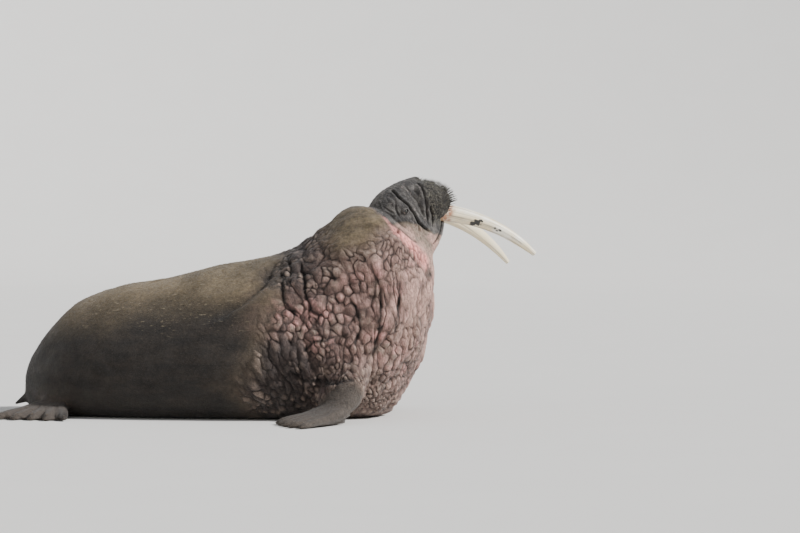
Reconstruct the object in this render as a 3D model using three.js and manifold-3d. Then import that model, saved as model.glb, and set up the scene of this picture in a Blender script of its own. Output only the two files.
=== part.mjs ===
// A bull walrus at rest on flat ground, life size: trunk lying on its belly, chest raised, head thrown back
// and turned a little to its left, tusks held out in front. The flesh is parted into the pieces that a person
// would name, and every piece keeps a thin gap to its neighbours.
import * as THREE from "three";
import { mergeVertices } from "three/addons/utils/BufferGeometryUtils.js";
import Module from "manifold-3d";

const wasm = await Module();
wasm.setup();

// Driving dimensions, in millimetres and degrees. X runs forward along the trunk, Y to the walrus's left and
// Z up from the ground.
const GAP = 0.35;
const RING_STEP = { plain: 84, bossed: 46, head: 30, jaw: 34 };
const SIDES = { plain: 36, bossed: 56, head: 32, jaw: 22, pad: 20, fold: 6, tusk: 10, tail: 12 };
const SMALL = { nose: 16, brow: 12, nostril: 8, ear: 10, eye: [12, 9], lid: [6, 14] }; // sides of small forms
const FLIPPER_SIDES = { arm: 11, palm: 10, digit: 6, web: 6 };
const RINGS = { fold: 8, arm: 5, palm: 3, digit: 3, web: 2, tail: 6, tusk: 16 };

// Cross-sections from rump to nape. back and belly are the top and the bottom of a section in the middle
// plane, half is its half width, square its squareness (2 is an ellipse) and sag how far its widest part is
// shifted towards the belly.
const BODY = [
  { name: "rump", back: [120, 215], belly: [135, 60], half: 70, square: 2.0, sag: 0.0 },
  { name: "tail_root", back: [160, 310], belly: [165, 5], half: 165, square: 2.0, sag: 0.05 },
  { name: "pelvis", back: [265, 455], belly: [260, -28], half: 285, square: 2.1, sag: 0.12 },
  { name: "hips", back: [430, 606], belly: [410, -45], half: 395, square: 2.2, sag: 0.16 },
  { name: "loin", back: [630, 680], belly: [600, -52], half: 458, square: 2.3, sag: 0.18 },
  { name: "flank", back: [890, 724], belly: [850, -55], half: 500, square: 2.3, sag: 0.18 },
  { name: "ribs", back: [1160, 790], belly: [1180, -55], half: 525, square: 2.3, sag: 0.16 },
  { name: "withers", back: [1420, 838], belly: [1510, -50], half: 525, square: 2.3, sag: 0.12 },
  { name: "shoulders", back: [1570, 880], belly: [1840, -40], half: 505, square: 2.25, sag: 0.08 },
  { name: "breast", back: [1675, 942], belly: [2085, 22], half: 475, square: 2.2, sag: 0.05 },
  { name: "chest_front", back: [1755, 1005], belly: [2212, 190], half: 440, square: 2.15, sag: 0.02 },
  { name: "neck_base", back: [1822, 1062], belly: [2298, 400], half: 400, square: 2.1, sag: 0.0 },
  { name: "neck_middle", back: [1880, 1102], belly: [2330, 600], half: 336, square: 2.05, sag: 0.02 },
  { name: "throat", back: [1930, 1114], belly: [2334, 762], half: 242, square: 2.0, sag: 0.02 },
  { name: "nape", back: [1982, 1104], belly: [2328, 856], half: 152, square: 2.0, sag: 0.0 },
  { name: "neck_end", back: [2080, 1080], belly: [2276, 942], half: 70, square: 2.0, sag: 0.0 },
];
const JOINS = { hips: 3.6, ribs: 6.6, chest: 10.4 }; // where the body is parted, in stations from the rump
const NECK_TURN = { from: 9, to: 14 }; // the stations between which the neck turns to the head's heading

// Rounded lumps of thick skin that cover the neck, shoulders and chest of an old bull.
const BOSS = { wide: 145, tall: 175, rise: 26, base: 0.45, from: 6.9, full: 8.2, fade: 13.0, end: 14.0 };

// The head is drawn level, in its own frame: X to the nose, Y to its left, Z to the crown, from a point
// midway between the eyes. Then it is turned, raised and leant to its place on the neck.
const HEAD = { at: [2127, 10, 1076], heading: 27, raised: 60, lean: 7 };
const SKULL = [
  { name: "inside_neck", back: [-170, 84], belly: [-190, -220], half: 178, square: 2.1, sag: 0.0 },
  { name: "occiput", back: [-112, 122], belly: [-130, -262], half: 192, square: 2.15, sag: 0.04 },
  { name: "crown", back: [-40, 138], belly: [-50, -272], half: 172, square: 2.2, sag: 0.08 },
  { name: "eyes", back: [36, 130], belly: [20, -256], half: 143, square: 2.25, sag: 0.08 },
  { name: "forehead", back: [100, 98], belly: [80, -236], half: 122, square: 2.25, sag: 0.08 },
  { name: "bridge", back: [150, 64], belly: [125, -212], half: 102, square: 2.2, sag: 0.05 },
  { name: "muzzle", back: [192, 26], belly: [165, -170], half: 78, square: 2.1, sag: 0.0 },
  { name: "nose_tip", back: [212, -22], belly: [204, -92], half: 40, square: 2.0, sag: 0.0 },
];
const JAW = [
  { name: "throat", back: [-120, -160], belly: [-140, -278], half: 128, square: 2.1, sag: 0.0 },
  { name: "angle", back: [-45, -170], belly: [-55, -282], half: 128, square: 2.1, sag: 0.0 },
  { name: "chin", back: [40, -185], belly: [26, -278], half: 100, square: 2.1, sag: 0.0 },
  { name: "lip", back: [92, -200], belly: [80, -266], half: 66, square: 2.0, sag: 0.0 },
  { name: "lip_tip", back: [120, -216], belly: [112, -248], half: 30, square: 2.0, sag: 0.0 },
];
const PAD = { at: [143, 66, -110], radii: [88, 86, 112], square: 2.4 };
const NOSE = { at: [184, 0, -14], radii: [38, 52, 36] };
const NOSTRIL = { at: [216, 24, -4], radii: [14, 5, 12], turn: 38 };
const BROW = { at: [20, 101, 60], radii: [28, 22, 48], turn: 33 };
const EYE = { at: [9, 12], radius: 20, sunk: 7 };
const LID = { ring: 20, thick: 8.5, long: 1.2, tall: 0.86, slant: -12 };
const EAR = { at: [-107, 196, 22], radius: 8, mouth: 11.2, long: 120 };
const CHEEK_FOLD = { from: [74, 150, 80], to: [-12, 168, -200], radius: 12 };

const TUSKS = {
  left: { side: 1, length: 556, splay: 8, lean: 13.4, bend: 1060, taper: 0.88 },
  right: { side: -1, length: 555, splay: 8, lean: 24, bend: 890, taper: 1 },
};
const TUSK = { gum: [128, 58, -224], root: 75, steps: 10 };
const TUSK_HALF = { deep: [47, 47, 42, 37, 32, 26, 15], wide: [31, 31, 29, 27, 24, 19, 12] };

const WHISKER = {
  rows: 6,
  columns: 6,
  rings: 2,
  sides: 3,
  thick: 2.4,
  long: 36,
  sunk: 10,
  outward: 0.55,
  forward: 0.6,
  droop: 0.3,
  low: -60,
  high: 34,
  inner: -8,
  outer: 84,
};

// A flipper lies on the ground from its wrist or ankle. heading is the way that it points, from straight
// back out to the side, and fan and reach give each digit's spread and length, from the leading edge.
const FORE = {
  shoulder: [1900, 270, 330],
  elbow: [1930, 420, 205],
  wrist: [1925, 575, 76],
  heading: 52,
  fan: [14, 7, 0, -8, -17],
  reach: [400, 388, 358, 325, 285],
  palm: 165,
  web: 0.87,
  halfArm: [170, 160, 122, 60],
  deepArm: [110, 92, 60, 22],
  halfPalm: [118, 136, 140],
  deepPalm: [54, 40, 27],
};
const HIND = {
  shoulder: [490, 160, 150],
  elbow: [410, 240, 120],
  wrist: [352, 318, 62],
  heading: 84,
  fan: [24, 12, 0, -12, -24],
  reach: [365, 335, 318, 335, 365],
  palm: 150,
  web: 0.84,
  halfArm: [95, 90, 80, 60],
  deepArm: [80, 66, 46, 22],
  halfPalm: [80, 108, 128],
  deepPalm: [44, 32, 22],
};
const DIGIT = {
  half: [36, 33, 30, 21],
  deep: [32, 27, 21, 11],
  apart: 0.31,
  bends: [0.45, 0.78],
  arch: [6, 3, -2],
};
const CLAW = { radius: 5.1, long: 34, back: 34, up: 34, tilt: 12 };
const WEB = { deep: [28, 16, 7] };
const TAIL = { root: [190, 0, 120], tip: [48, 0, 42], half: [60, 46, 16], deep: [36, 26, 9] };

// Solid helpers: a closed three.js geometry becomes a solid, solids are joined and cut, and the largest
// closed surface of the result becomes a geometry again.
function solid(geometry) {
  const plain = geometry.index ? geometry.clone() : mergeVertices(geometry.clone());
  plain.deleteAttribute("normal");
  plain.deleteAttribute("uv");
  const merged = mergeVertices(plain, 1e-3);
  return new wasm.Manifold(
    new wasm.Mesh({
      numProp: 3,
      vertProperties: new Float32Array(merged.attributes.position.array),
      triVerts: new Uint32Array(merged.index.array),
    }),
  );
}

function join(...solids) {
  return solids.reduce((whole, next) => whole.add(next));
}

function cut(whole, ...tools) {
  return tools.reduce((left, tool) => left.subtract(tool), whole);
}

function largest(whole) {
  const bodies = whole.decompose().sort((a, b) => b.volume() - a.volume());
  return bodies[0];
}

function geometryOf(whole) {
  const mesh = largest(whole).getMesh();
  return new THREE.BufferGeometry()
    .setAttribute("position", new THREE.BufferAttribute(mesh.vertProperties, 3))
    .setIndex(new THREE.BufferAttribute(mesh.triVerts, 1));
}

// The same geometry on the walrus's other side.
function mirrored(geometry) {
  const other = geometry.clone().scale(1, -1, 1);
  const index = other.index.array;
  for (let i = 0; i < index.length; i += 3) [index[i + 1], index[i + 2]] = [index[i + 2], index[i + 1]];
  return other;
}

// Small mathematics.
const radians = THREE.MathUtils.degToRad;
const smooth = THREE.MathUtils.smoothstep;
const lerp = THREE.MathUtils.lerp;

// A repeatable draw from 0 to 1 for whole numbers i, j and k.
function draw(i, j, k = 0) {
  const value = Math.sin(i * 127.1 + j * 311.7 + k * 74.7 + 11.3) * 43758.5453;
  return value - Math.floor(value);
}

// A smooth curve of a named size through the given values, read from 0 to 1.
function sizeCurve(values) {
  const curve = new THREE.CatmullRomCurve3(values.map((value, i) => new THREE.Vector3(i, value, 0)));
  return (share) => curve.getPoint(share).y;
}

// Closes a tube of rings, each a list of points in the same order, with a flat face at either end.
function closeRings(rings) {
  const sides = rings[0].length;
  const centre = (ring) => ring.reduce((sum, point) => sum.add(point), new THREE.Vector3()).divideScalar(sides);
  const points = [...rings.flat(), centre(rings[0]), centre(rings[rings.length - 1])];
  const [first, last] = [points.length - 2, points.length - 1];
  const index = [];
  for (let j = 0; j < sides; j++) {
    const next = (j + 1) % sides;
    for (let i = 0; i + 1 < rings.length; i++) {
      const [a, b, c, d] = [i * sides + j, i * sides + next, (i + 1) * sides + next, (i + 1) * sides + j];
      if (points[a].distanceTo(points[c]) < points[b].distanceTo(points[d])) index.push(a, b, c, a, c, d);
      else index.push(a, b, d, b, c, d);
    }
    const end = (rings.length - 1) * sides;
    index.push(first, next, j, last, end + j, end + next);
  }
  return new THREE.BufferGeometry().setFromPoints(points).setIndex(index);
}

// How far bossed skin stands out at a point: cells of uneven lumps, with furrows where two of them meet.
function bossHeight(point) {
  const cell = [point.x / BOSS.wide, point.y / BOSS.wide, point.z / BOSS.tall];
  const home = cell.map(Math.floor);
  let [nearest, second] = [9, 9];
  for (let n = 0; n < 27; n++) {
    const i = home[0] + (n % 3) - 1;
    const j = home[1] + (Math.floor(n / 3) % 3) - 1;
    const k = home[2] + Math.floor(n / 9) - 1;
    const seed = [i + draw(i, j, k), j + draw(j, k, i), k + draw(k, i, j)];
    const distance = Math.hypot(cell[0] - seed[0], cell[1] - seed[1], cell[2] - seed[2]);
    if (distance < nearest) [nearest, second] = [distance, nearest];
    else second = Math.min(second, distance);
  }
  return BOSS.rise * (smooth(second - nearest, 0, 0.55) - BOSS.base);
}

// Share of the full boss height at a station and at a height round its section, from -1 at the belly to 1 at
// the back, where the skin is smoother.
function bossShare(station, height) {
  const along = smooth(station, BOSS.from, BOSS.full) * (1 - smooth(station, BOSS.fade, BOSS.end));
  return along * (1 - 0.65 * smooth(height, 0.55, 1));
}

// Rings of a tube through stations, from one station to another. Each ring lies in the plane through its
// back and belly points, so a tube that ends at a station and one that starts there meet face to face.
function stationRings(stations, { from = 0, to = stations.length - 1, step, sides, grow = 0, bossed, turned }) {
  const span = stations.length - 1;
  const edge = (key) => stations.map((s) => new THREE.Vector3(s[key][0], 0, s[key][1]));
  const path = (key) => new THREE.CatmullRomCurve3(edge(key));
  const [back, belly] = [path("back"), path("belly")];
  const [half, square, sag] = ["half", "square", "sag"].map((key) => sizeCurve(stations.map((s) => s[key])));
  const middle = (at) => back.getPoint(at / span).lerp(belly.getPoint(at / span), 0.5);
  const stops = [from];
  for (let at = from; at < to; ) {
    const end = Math.min(Math.floor(at + 1e-6) + 1, to);
    const count = end === span ? 1 : Math.max(1, Math.round(middle(at).distanceTo(middle(end)) / step));
    for (let n = 1; n <= count; n++) stops.push(lerp(at, end, n / count));
    at = end;
  }
  return stops.map((at) => {
    const share = at / span;
    const [top, bottom] = [back.getPoint(share), belly.getPoint(share)];
    const centre = top.clone().lerp(bottom, 0.5);
    const up = top.clone().sub(bottom).multiplyScalar(0.5);
    const tall = up.length();
    up.normalize();
    const beyond = grow * (Number(at === to) - Number(at === from));
    centre.addScaledVector(new THREE.Vector3(0, 1, 0).cross(up), beyond);
    const turn = turned ? turned(at) : 0;
    return Array.from({ length: sides }, (_, j) => {
      const angle = (2 * Math.PI * j) / sides;
      const round = (value) => Math.sign(value) * Math.abs(value) ** (2 / square(share));
      const [height, side] = [-round(Math.cos(angle)), round(Math.sin(angle))];
      const flat = new THREE.Vector2(side * half(share) * (1 - sag(share) * height), height * tall);
      const around = centre.clone().addScaledVector(up, flat.y).setY(flat.x);
      const out = (bossed ? bossHeight(around) * bossShare(at, height) : 0) + grow;
      flat.addScaledVector(flat.clone().normalize(), out);
      const point = up.clone().multiplyScalar(flat.y).setY(flat.x);
      return point.applyAxisAngle(new THREE.Vector3(0, 0, 1), turn).add(centre);
    });
  });
}

// A tube through 3-D points, with a half width across and a half depth at right angles to that and the path.
function limb(points, wide, deep, across, rings, sides, grow = 0) {
  const path = new THREE.CatmullRomCurve3(points);
  const [half, depth] = [sizeCurve(wide), sizeCurve(deep)];
  const made = [];
  for (let i = 0; i <= rings; i++) {
    const share = i / rings;
    const along = path.getTangent(share);
    const side = across.clone().addScaledVector(along, -across.dot(along)).normalize();
    const up = along.clone().cross(side);
    const centre = path.getPoint(share);
    const ring = [];
    for (let j = 0; j < sides; j++) {
      const angle = (2 * Math.PI * j) / sides;
      const width = Math.cos(angle) * (half(share) + grow);
      const height = Math.sin(angle) * (depth(share) + grow);
      ring.push(centre.clone().addScaledVector(side, width).addScaledVector(up, height));
    }
    made.push(ring);
  }
  return closeRings(made);
}

// A rounded lump with the given radii, turned about X and then set at its place.
function lump({ at, radii, square = 2, turn = 0 }, sides, grow = 0) {
  const ball = new THREE.SphereGeometry(1, sides, Math.round(sides * 0.7));
  const spots = ball.attributes.position;
  for (let i = 0; i < spots.count; i++) {
    const point = new THREE.Vector3().fromBufferAttribute(spots, i);
    const size = point.toArray().reduce((sum, value) => sum + Math.abs(value) ** square, 0) ** (1 / square);
    point.divideScalar(size);
    spots.setXYZ(i, point.x * (radii[0] + grow), point.y * (radii[1] + grow), point.z * (radii[2] + grow));
  }
  return ball.rotateX(radians(turn)).translate(...at);
}

// Nothing reaches below the ground: points under it are raised to it, which leaves the flats it rests on.
function grounded(geometry) {
  const spots = geometry.attributes.position;
  for (let i = 0; i < spots.count; i++) spots.setZ(i, Math.max(0, spots.getZ(i)));
  return geometry;
}

// Moves a solid's geometry from the head's level frame to its place on the neck.
const headPlace = new THREE.Matrix4()
  .makeTranslation(...HEAD.at)
  .multiply(new THREE.Matrix4().makeRotationZ(radians(HEAD.heading)))
  .multiply(new THREE.Matrix4().makeRotationY(radians(-HEAD.raised)))
  .multiply(new THREE.Matrix4().makeRotationX(radians(HEAD.lean)));
const onNeck = (geometry) => geometry.applyMatrix4(headPlace);

const neckTurn = (at) => radians(HEAD.heading) * smooth(at, NECK_TURN.from, NECK_TURN.to);

function bodyPiece(from, to, kind, grow = 0) {
  const bossed = kind === "bossed";
  const options = { from, to, step: RING_STEP[kind], sides: SIDES[kind], grow, bossed, turned: neckTurn };
  return grounded(closeRings(stationRings(BODY, options)));
}

// Half width of the skull's surface at a place along it and a height.
function skullSide(along, height) {
  const backs = SKULL.map((s) => s.back[0]);
  const after = Math.max(1, backs.findIndex((x) => x > along));
  const share = (along - backs[after - 1]) / (backs[after] - backs[after - 1]);
  const between = (read) => lerp(read(SKULL[after - 1]), read(SKULL[after]), share);
  const [top, bottom] = [between((s) => s.back[1]), between((s) => s.belly[1])];
  const rise = ((height - (top + bottom) / 2) * 2) / (top - bottom);
  const square = between((s) => s.square);
  const round = (1 - Math.abs(rise) ** square) ** (1 / square);
  return between((s) => s.half) * round * (1 - between((s) => s.sag) * rise);
}

function eyeball(side, grow = 0) {
  const out = skullSide(EYE.at[0], EYE.at[1]) - EYE.sunk;
  return new THREE.SphereGeometry(EYE.radius + grow, ...SMALL.eye).translate(EYE.at[0], side * out, EYE.at[1]);
}

function eyelids(side) {
  const out = skullSide(EYE.at[0], EYE.at[1]) + 1;
  return new THREE.TorusGeometry(LID.ring, LID.thick, ...SMALL.lid)
    .scale(LID.long, LID.tall, 1)
    .rotateX(Math.PI / 2)
    .rotateZ(radians(side * LID.slant))
    .translate(EYE.at[0], side * out, EYE.at[1]);
}

// A walrus has no outer ear, only a small hole in a fold of the neck.
function earHole(side) {
  return new THREE.CylinderGeometry(EAR.mouth, EAR.radius, EAR.long, SMALL.ear)
    .rotateX(side > 0 ? 0 : Math.PI)
    .translate(EAR.at[0], side * (EAR.at[1] + EAR.long / 2), EAR.at[2]);
}

// The deep fold that runs down in front of each eye, from the bridge of the nose to behind the mouth.
function cheekFold(side) {
  const [from, to] = [CHEEK_FOLD.from, CHEEK_FOLD.to].map(([x, y, z]) => new THREE.Vector3(x, side * y, z));
  const points = [0, 0.17, 0.34, 0.5, 0.67, 0.84, 1].map((share) => {
    const point = from.clone().lerp(to, share);
    return point.setY(side * (skullSide(point.x, point.z) + 2));
  });
  const size = [3, CHEEK_FOLD.radius, CHEEK_FOLD.radius, 3];
  return limb(points, size, size, new THREE.Vector3(1, 0, 0), RINGS.fold, SIDES.fold);
}

function tusk({ side, length, splay, lean, bend, taper }, grow = 0) {
  const sideways = Math.sin(radians(splay));
  const at = new THREE.Vector3(TUSK.gum[0], side * TUSK.gum[1], TUSK.gum[2]);
  const heading = (run) => {
    const tilt = radians(lean) - run / bend;
    return new THREE.Vector3(Math.sin(tilt), side * sideways, -Math.cos(tilt)).normalize();
  };
  const points = [at.clone().addScaledVector(heading(0), -TUSK.root - 2 * grow)];
  for (let i = 0; i <= TUSK.steps; i++) {
    points.push(at.clone());
    at.addScaledVector(heading(((i + 0.5) * length) / TUSK.steps), length / TUSK.steps);
  }
  const scaled = (sizes) => sizes.map((size, i) => size * lerp(1, taper, i / (sizes.length - 1)));
  const across = new THREE.Vector3(0, 1, 0);
  return limb(points, scaled(TUSK_HALF.wide), scaled(TUSK_HALF.deep), across, RINGS.tusk, SIDES.tusk, grow);
}

// Stiff bristles in curved rows over the lower and outer part of a pad, longer near the lip.
function whiskers(side) {
  const made = [];
  const middle = new THREE.Vector3(PAD.at[0], side * PAD.at[1], PAD.at[2]);
  for (let row = 0; row < WHISKER.rows; row++) {
    for (let column = 0; column < WHISKER.columns; column++) {
      const [shift, turn, size] = [draw(row, column, side), draw(column, row, 5), draw(row, column, 9)];
      const down = row / (WHISKER.rows - 1);
      const latitude = radians(lerp(WHISKER.high, WHISKER.low, down) + 5 * (shift - 0.5));
      const stagger = (row % 2) * 0.5 + 0.35 * (turn - 0.5);
      const longitude = radians(lerp(WHISKER.inner, WHISKER.outer, (column + stagger) / WHISKER.columns));
      const way = new THREE.Vector3(
        Math.cos(latitude) * Math.cos(longitude),
        side * Math.cos(latitude) * Math.sin(longitude),
        Math.sin(latitude),
      );
      const power = (sum, radius, i) => sum + Math.abs(way.getComponent(i) / radius) ** PAD.square;
      const edge = PAD.radii.reduce(power, 0);
      const root = middle.clone().addScaledVector(way, edge ** (-1 / PAD.square) - WHISKER.sunk);
      const length = WHISKER.long * (0.55 + 0.55 * down) * (0.8 + 0.4 * size) + WHISKER.sunk;
      const forward = new THREE.Vector3(WHISKER.forward, 0, -WHISKER.droop * (0.4 + down));
      const lie = way.clone().multiplyScalar(WHISKER.outward).add(forward).normalize();
      const halfway = root.clone().addScaledVector(lie, length * 0.5);
      const bend = lie.clone().setZ(lie.z - 0.2 * WHISKER.droop).normalize();
      const tip = halfway.clone().addScaledVector(bend, length * 0.5);
      const thin = [WHISKER.thick, WHISKER.thick * 0.8, WHISKER.thick * 0.2];
      const across = new THREE.Vector3(-way.y, way.x, 0);
      made.push(solid(limb([root, halfway, tip], thin, thin, across, WHISKER.rings, WHISKER.sides)));
    }
  }
  return made;
}

// A flipper of the right side, mirrored for the left one: arm, palm, five digits with their claws, and the
// web from each digit to the next.
function flipper(size) {
  const place = ([x, y, z]) => new THREE.Vector3(x, -y, z);
  const [shoulder, elbow, wrist] = [size.shoulder, size.elbow, size.wrist].map(place);
  const heading = (fan) => {
    const angle = radians(size.heading + fan);
    return new THREE.Vector3(-Math.cos(angle), -Math.sin(angle), 0);
  };
  const ahead = heading(0);
  const across = new THREE.Vector3(-ahead.y, ahead.x, 0);
  const palmEnd = wrist.clone().addScaledVector(ahead, size.palm).setZ(size.deepPalm[2]);
  const palmMiddle = wrist.clone().lerp(palmEnd, 0.5).setZ(size.deepPalm[1]);
  const piece = (kind, points, half, deep) =>
    solid(grounded(limb(points, half, deep, across, RINGS[kind], FLIPPER_SIDES[kind])));
  const pieces = [
    piece("arm", [shoulder, elbow, wrist, palmMiddle], size.halfArm, size.deepArm),
    piece("palm", [wrist, palmMiddle, palmEnd], size.halfPalm, size.deepPalm),
  ];
  const apart = size.halfPalm[0] * DIGIT.apart;
  const rootOf = (n) => wrist.clone().addScaledVector(across, apart * (2 - n));
  for (let n = 0; n + 1 < size.fan.length; n++) {
    const root = rootOf(n + 0.5).setZ(WEB.deep[0]);
    const reach = (size.web * (size.reach[n] + size.reach[n + 1])) / 2;
    const end = root.clone().addScaledVector(heading((size.fan[n] + size.fan[n + 1]) / 2), reach);
    const spread = apart + radians(size.fan[n] - size.fan[n + 1]) * reach;
    const half = [apart / 2, (apart + spread) / 4, spread / 2];
    const path = [root, root.clone().lerp(end, 0.5).setZ(WEB.deep[1]), end.setZ(WEB.deep[2])];
    pieces.push(piece("web", path, half, WEB.deep));
  }
  size.fan.forEach((fan, n) => {
    const way = heading(fan);
    const root = rootOf(n);
    const tip = root.clone().addScaledVector(way, size.reach[n]).setZ(DIGIT.deep[3] + DIGIT.arch[2]);
    const knuckle = root.clone().lerp(tip, DIGIT.bends[0]).setZ(DIGIT.deep[1] + DIGIT.arch[0]);
    const joint = root.clone().lerp(tip, DIGIT.bends[1]).setZ(DIGIT.deep[2] + DIGIT.arch[1]);
    pieces.push(piece("digit", [root, knuckle, joint, tip], DIGIT.half, DIGIT.deep));
    const claw = new THREE.ConeGeometry(CLAW.radius, CLAW.long, 4).rotateX(-Math.PI / 2);
    const turn = new THREE.Quaternion().setFromUnitVectors(new THREE.Vector3(0, 0, -1), way);
    claw.rotateX(radians(CLAW.tilt)).applyQuaternion(turn);
    const bed = tip.clone().addScaledVector(way, -CLAW.back);
    pieces.push(solid(claw.translate(bed.x, bed.y, CLAW.up)));
  });
  return geometryOf(join(...pieces));
}

function tail() {
  const points = [TAIL.root, TAIL.tip].map((p) => new THREE.Vector3(...p));
  points.splice(1, 0, points[0].clone().lerp(points[1], 0.55));
  return grounded(limb(points, TAIL.half, TAIL.deep, new THREE.Vector3(0, 1, 0), RINGS.tail, SIDES.tail));
}

// The finishes of the pieces.
const finish = (color, roughness) => new THREE.MeshStandardMaterial({ color, roughness, metalness: 0 });
const FINISH = {
  hide: finish("#7a6a50", 0.85),
  bossedHide: finish("#94776a", 0.8),
  faceHide: finish("#57524a", 0.75),
  flipperHide: finish("#4b453d", 0.8),
  ivory: finish("#e2dccb", 0.35),
  eye: finish("#1d1714", 0.1),
};

const walrus = new THREE.Group();
function add(name, geometry, material) {
  const mesh = new THREE.Mesh(geometry, material);
  mesh.name = name;
  walrus.add(mesh);
}

// Trunk and neck: four lengths of one tube, parted at the joins.
const seam = 0.006; // a station's share that leaves the gap at a join
const end = BODY.length - 1;
add("hindquarters", bodyPiece(0, JOINS.hips - seam, "plain"), FINISH.hide);
add("torso", bodyPiece(JOINS.hips, JOINS.ribs - seam, "plain"), FINISH.hide);
const chest = bodyPiece(JOINS.ribs, JOINS.chest - seam, "bossed");
add("chest", chest, FINISH.bossedHide);
const earHoles = [1, -1].map((side) => solid(onNeck(earHole(side))));
const neck = cut(solid(bodyPiece(JOINS.chest, end, "bossed")), ...earHoles);
add("neck", geometryOf(neck), FINISH.bossedHide);

// Head, in its level frame, with what is cut from it.
const skull = (grow = 0) => closeRings(stationRings(SKULL, { step: RING_STEP.head, sides: SIDES.head, grow }));
const jawbone = (grow = 0) => closeRings(stationRings(JAW, { step: RING_STEP.jaw, sides: SIDES.jaw, grow }));
const both = (make) => [solid(make(1)), solid(make(-1))];
const pair = (size, sides) => [lump(size, sides), mirrored(lump(size, sides))].map(solid);
const brows = pair(BROW, SMALL.brow);
const nostrils = pair(NOSTRIL, SMALL.nostril);
const tuskTools = Object.values(TUSKS).map((size) => solid(tusk(size, GAP)));
const neckTool = solid(bodyPiece(JOINS.chest, end, "bossed", GAP));
const level = headPlace.clone().invert();
const neckInHead = solid(geometryOf(neckTool).applyMatrix4(level));

const headMass = join(solid(skull()), solid(lump(NOSE, SMALL.nose)), ...brows, ...both(eyelids));
const eyeTools = [solid(eyeball(1, GAP)), solid(eyeball(-1, GAP))];
const headCut = cut(headMass, ...eyeTools, ...both(cheekFold), ...nostrils, neckInHead);
const headSolid = cut(headCut, ...tuskTools);
add("head", onNeck(geometryOf(headSolid)), FINISH.faceHide);

const headTools = [solid(skull(GAP)), solid(lump(NOSE, SMALL.nose, GAP))];
function pad(side) {
  const half = solid(lump({ ...PAD, at: [PAD.at[0], side * PAD.at[1], PAD.at[2]] }, SIDES.pad));
  const otherSide = new THREE.BoxGeometry(1000, 400, 1000).translate(0, side * (GAP - 200), 0);
  return cut(join(half, ...whiskers(side)), solid(otherSide), ...headTools, ...tuskTools, ...nostrils);
}
const pads = { left: pad(1), right: pad(-1) };
add("whisker_pad_left", onNeck(geometryOf(pads.left)), FINISH.faceHide);
add("whisker_pad_right", onNeck(geometryOf(pads.right)), FINISH.faceHide);

const padTools = [1, -1].map((side) =>
  solid(lump({ ...PAD, at: [PAD.at[0], side * PAD.at[1], PAD.at[2]] }, SIDES.pad, GAP)),
);
const jawSolid = cut(solid(jawbone()), ...headTools, ...padTools, ...tuskTools, neckInHead);
add("lower_jaw", onNeck(geometryOf(jawSolid)), FINISH.faceHide);

for (const [name, size] of Object.entries(TUSKS)) add("tusk_" + name, onNeck(tusk(size)), FINISH.ivory);
add("eye_left", onNeck(eyeball(1)), FINISH.eye);
add("eye_right", onNeck(eyeball(-1)), FINISH.eye);

// Flippers and tail, cut clear of the body that they grow from.
const bodyTools = [
  solid(bodyPiece(0, JOINS.hips, "plain", GAP)),
  solid(bodyPiece(JOINS.hips - seam, JOINS.ribs, "plain", GAP)),
  solid(bodyPiece(JOINS.ribs - seam, JOINS.chest, "bossed", GAP)),
];
const foreRight = flipper(FORE);
const hindRight = flipper(HIND);
const parted = (geometry) => geometryOf(cut(solid(geometry), ...bodyTools));
add("fore_flipper_right", parted(foreRight), FINISH.flipperHide);
add("fore_flipper_left", parted(mirrored(foreRight)), FINISH.flipperHide);
add("hind_flipper_right", parted(hindRight), FINISH.flipperHide);
add("hind_flipper_left", parted(mirrored(hindRight)), FINISH.flipperHide);
add("tail", parted(tail()), FINISH.hide);

// The origin is on the ground, under the middle of the whole walrus.
const box = new THREE.Box3().setFromObject(walrus, true);
const middle = box.getCenter(new THREE.Vector3());
walrus.position.set(-middle.x, -middle.y, -box.min.z);

export default walrus;
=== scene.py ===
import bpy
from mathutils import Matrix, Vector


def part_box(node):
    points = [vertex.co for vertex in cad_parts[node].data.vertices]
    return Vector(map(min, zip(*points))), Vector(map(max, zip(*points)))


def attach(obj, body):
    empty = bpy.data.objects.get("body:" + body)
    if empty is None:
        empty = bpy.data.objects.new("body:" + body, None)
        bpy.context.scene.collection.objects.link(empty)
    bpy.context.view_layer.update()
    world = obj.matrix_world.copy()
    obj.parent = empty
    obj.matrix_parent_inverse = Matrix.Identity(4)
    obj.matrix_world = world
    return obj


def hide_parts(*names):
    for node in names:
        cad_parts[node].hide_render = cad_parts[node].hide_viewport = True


bl_info = {
    "name": "Bull walrus",
    "version": (1, 0, 0),
    "blender": (4, 5, 0),
    "location": "View3D > Sidebar > Walrus",
    "description": "Dresses the solids of a life-size bull walrus: hide, whiskers, tusks, eyes and claws",
    "category": "Mesh",
}

from math import cos, pi, radians, sin

import bpy
import numpy as np
from mathutils import Matrix, Vector

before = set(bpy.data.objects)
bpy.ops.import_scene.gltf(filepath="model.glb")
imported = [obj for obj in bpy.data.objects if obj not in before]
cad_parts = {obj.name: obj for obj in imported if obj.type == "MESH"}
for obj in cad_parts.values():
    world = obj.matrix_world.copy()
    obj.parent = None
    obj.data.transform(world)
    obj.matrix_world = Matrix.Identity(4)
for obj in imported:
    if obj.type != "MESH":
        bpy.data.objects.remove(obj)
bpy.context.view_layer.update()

MM = 0.001
# The walrus's left side and its right.
SIDES = (1, -1)
# Turns by this share of a circle never fall on each other.
GOLDEN = 0.618034

# The solids were drawn from a point on the ground below the rump, in millimetres, with X forward along the
# trunk, Y to the walrus's left and Z up. DRAWN_FROM is where the model's own origin lies in that drawing.
DRAWN_FROM = Vector((1438.86, 0.0, 0.0))

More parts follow.
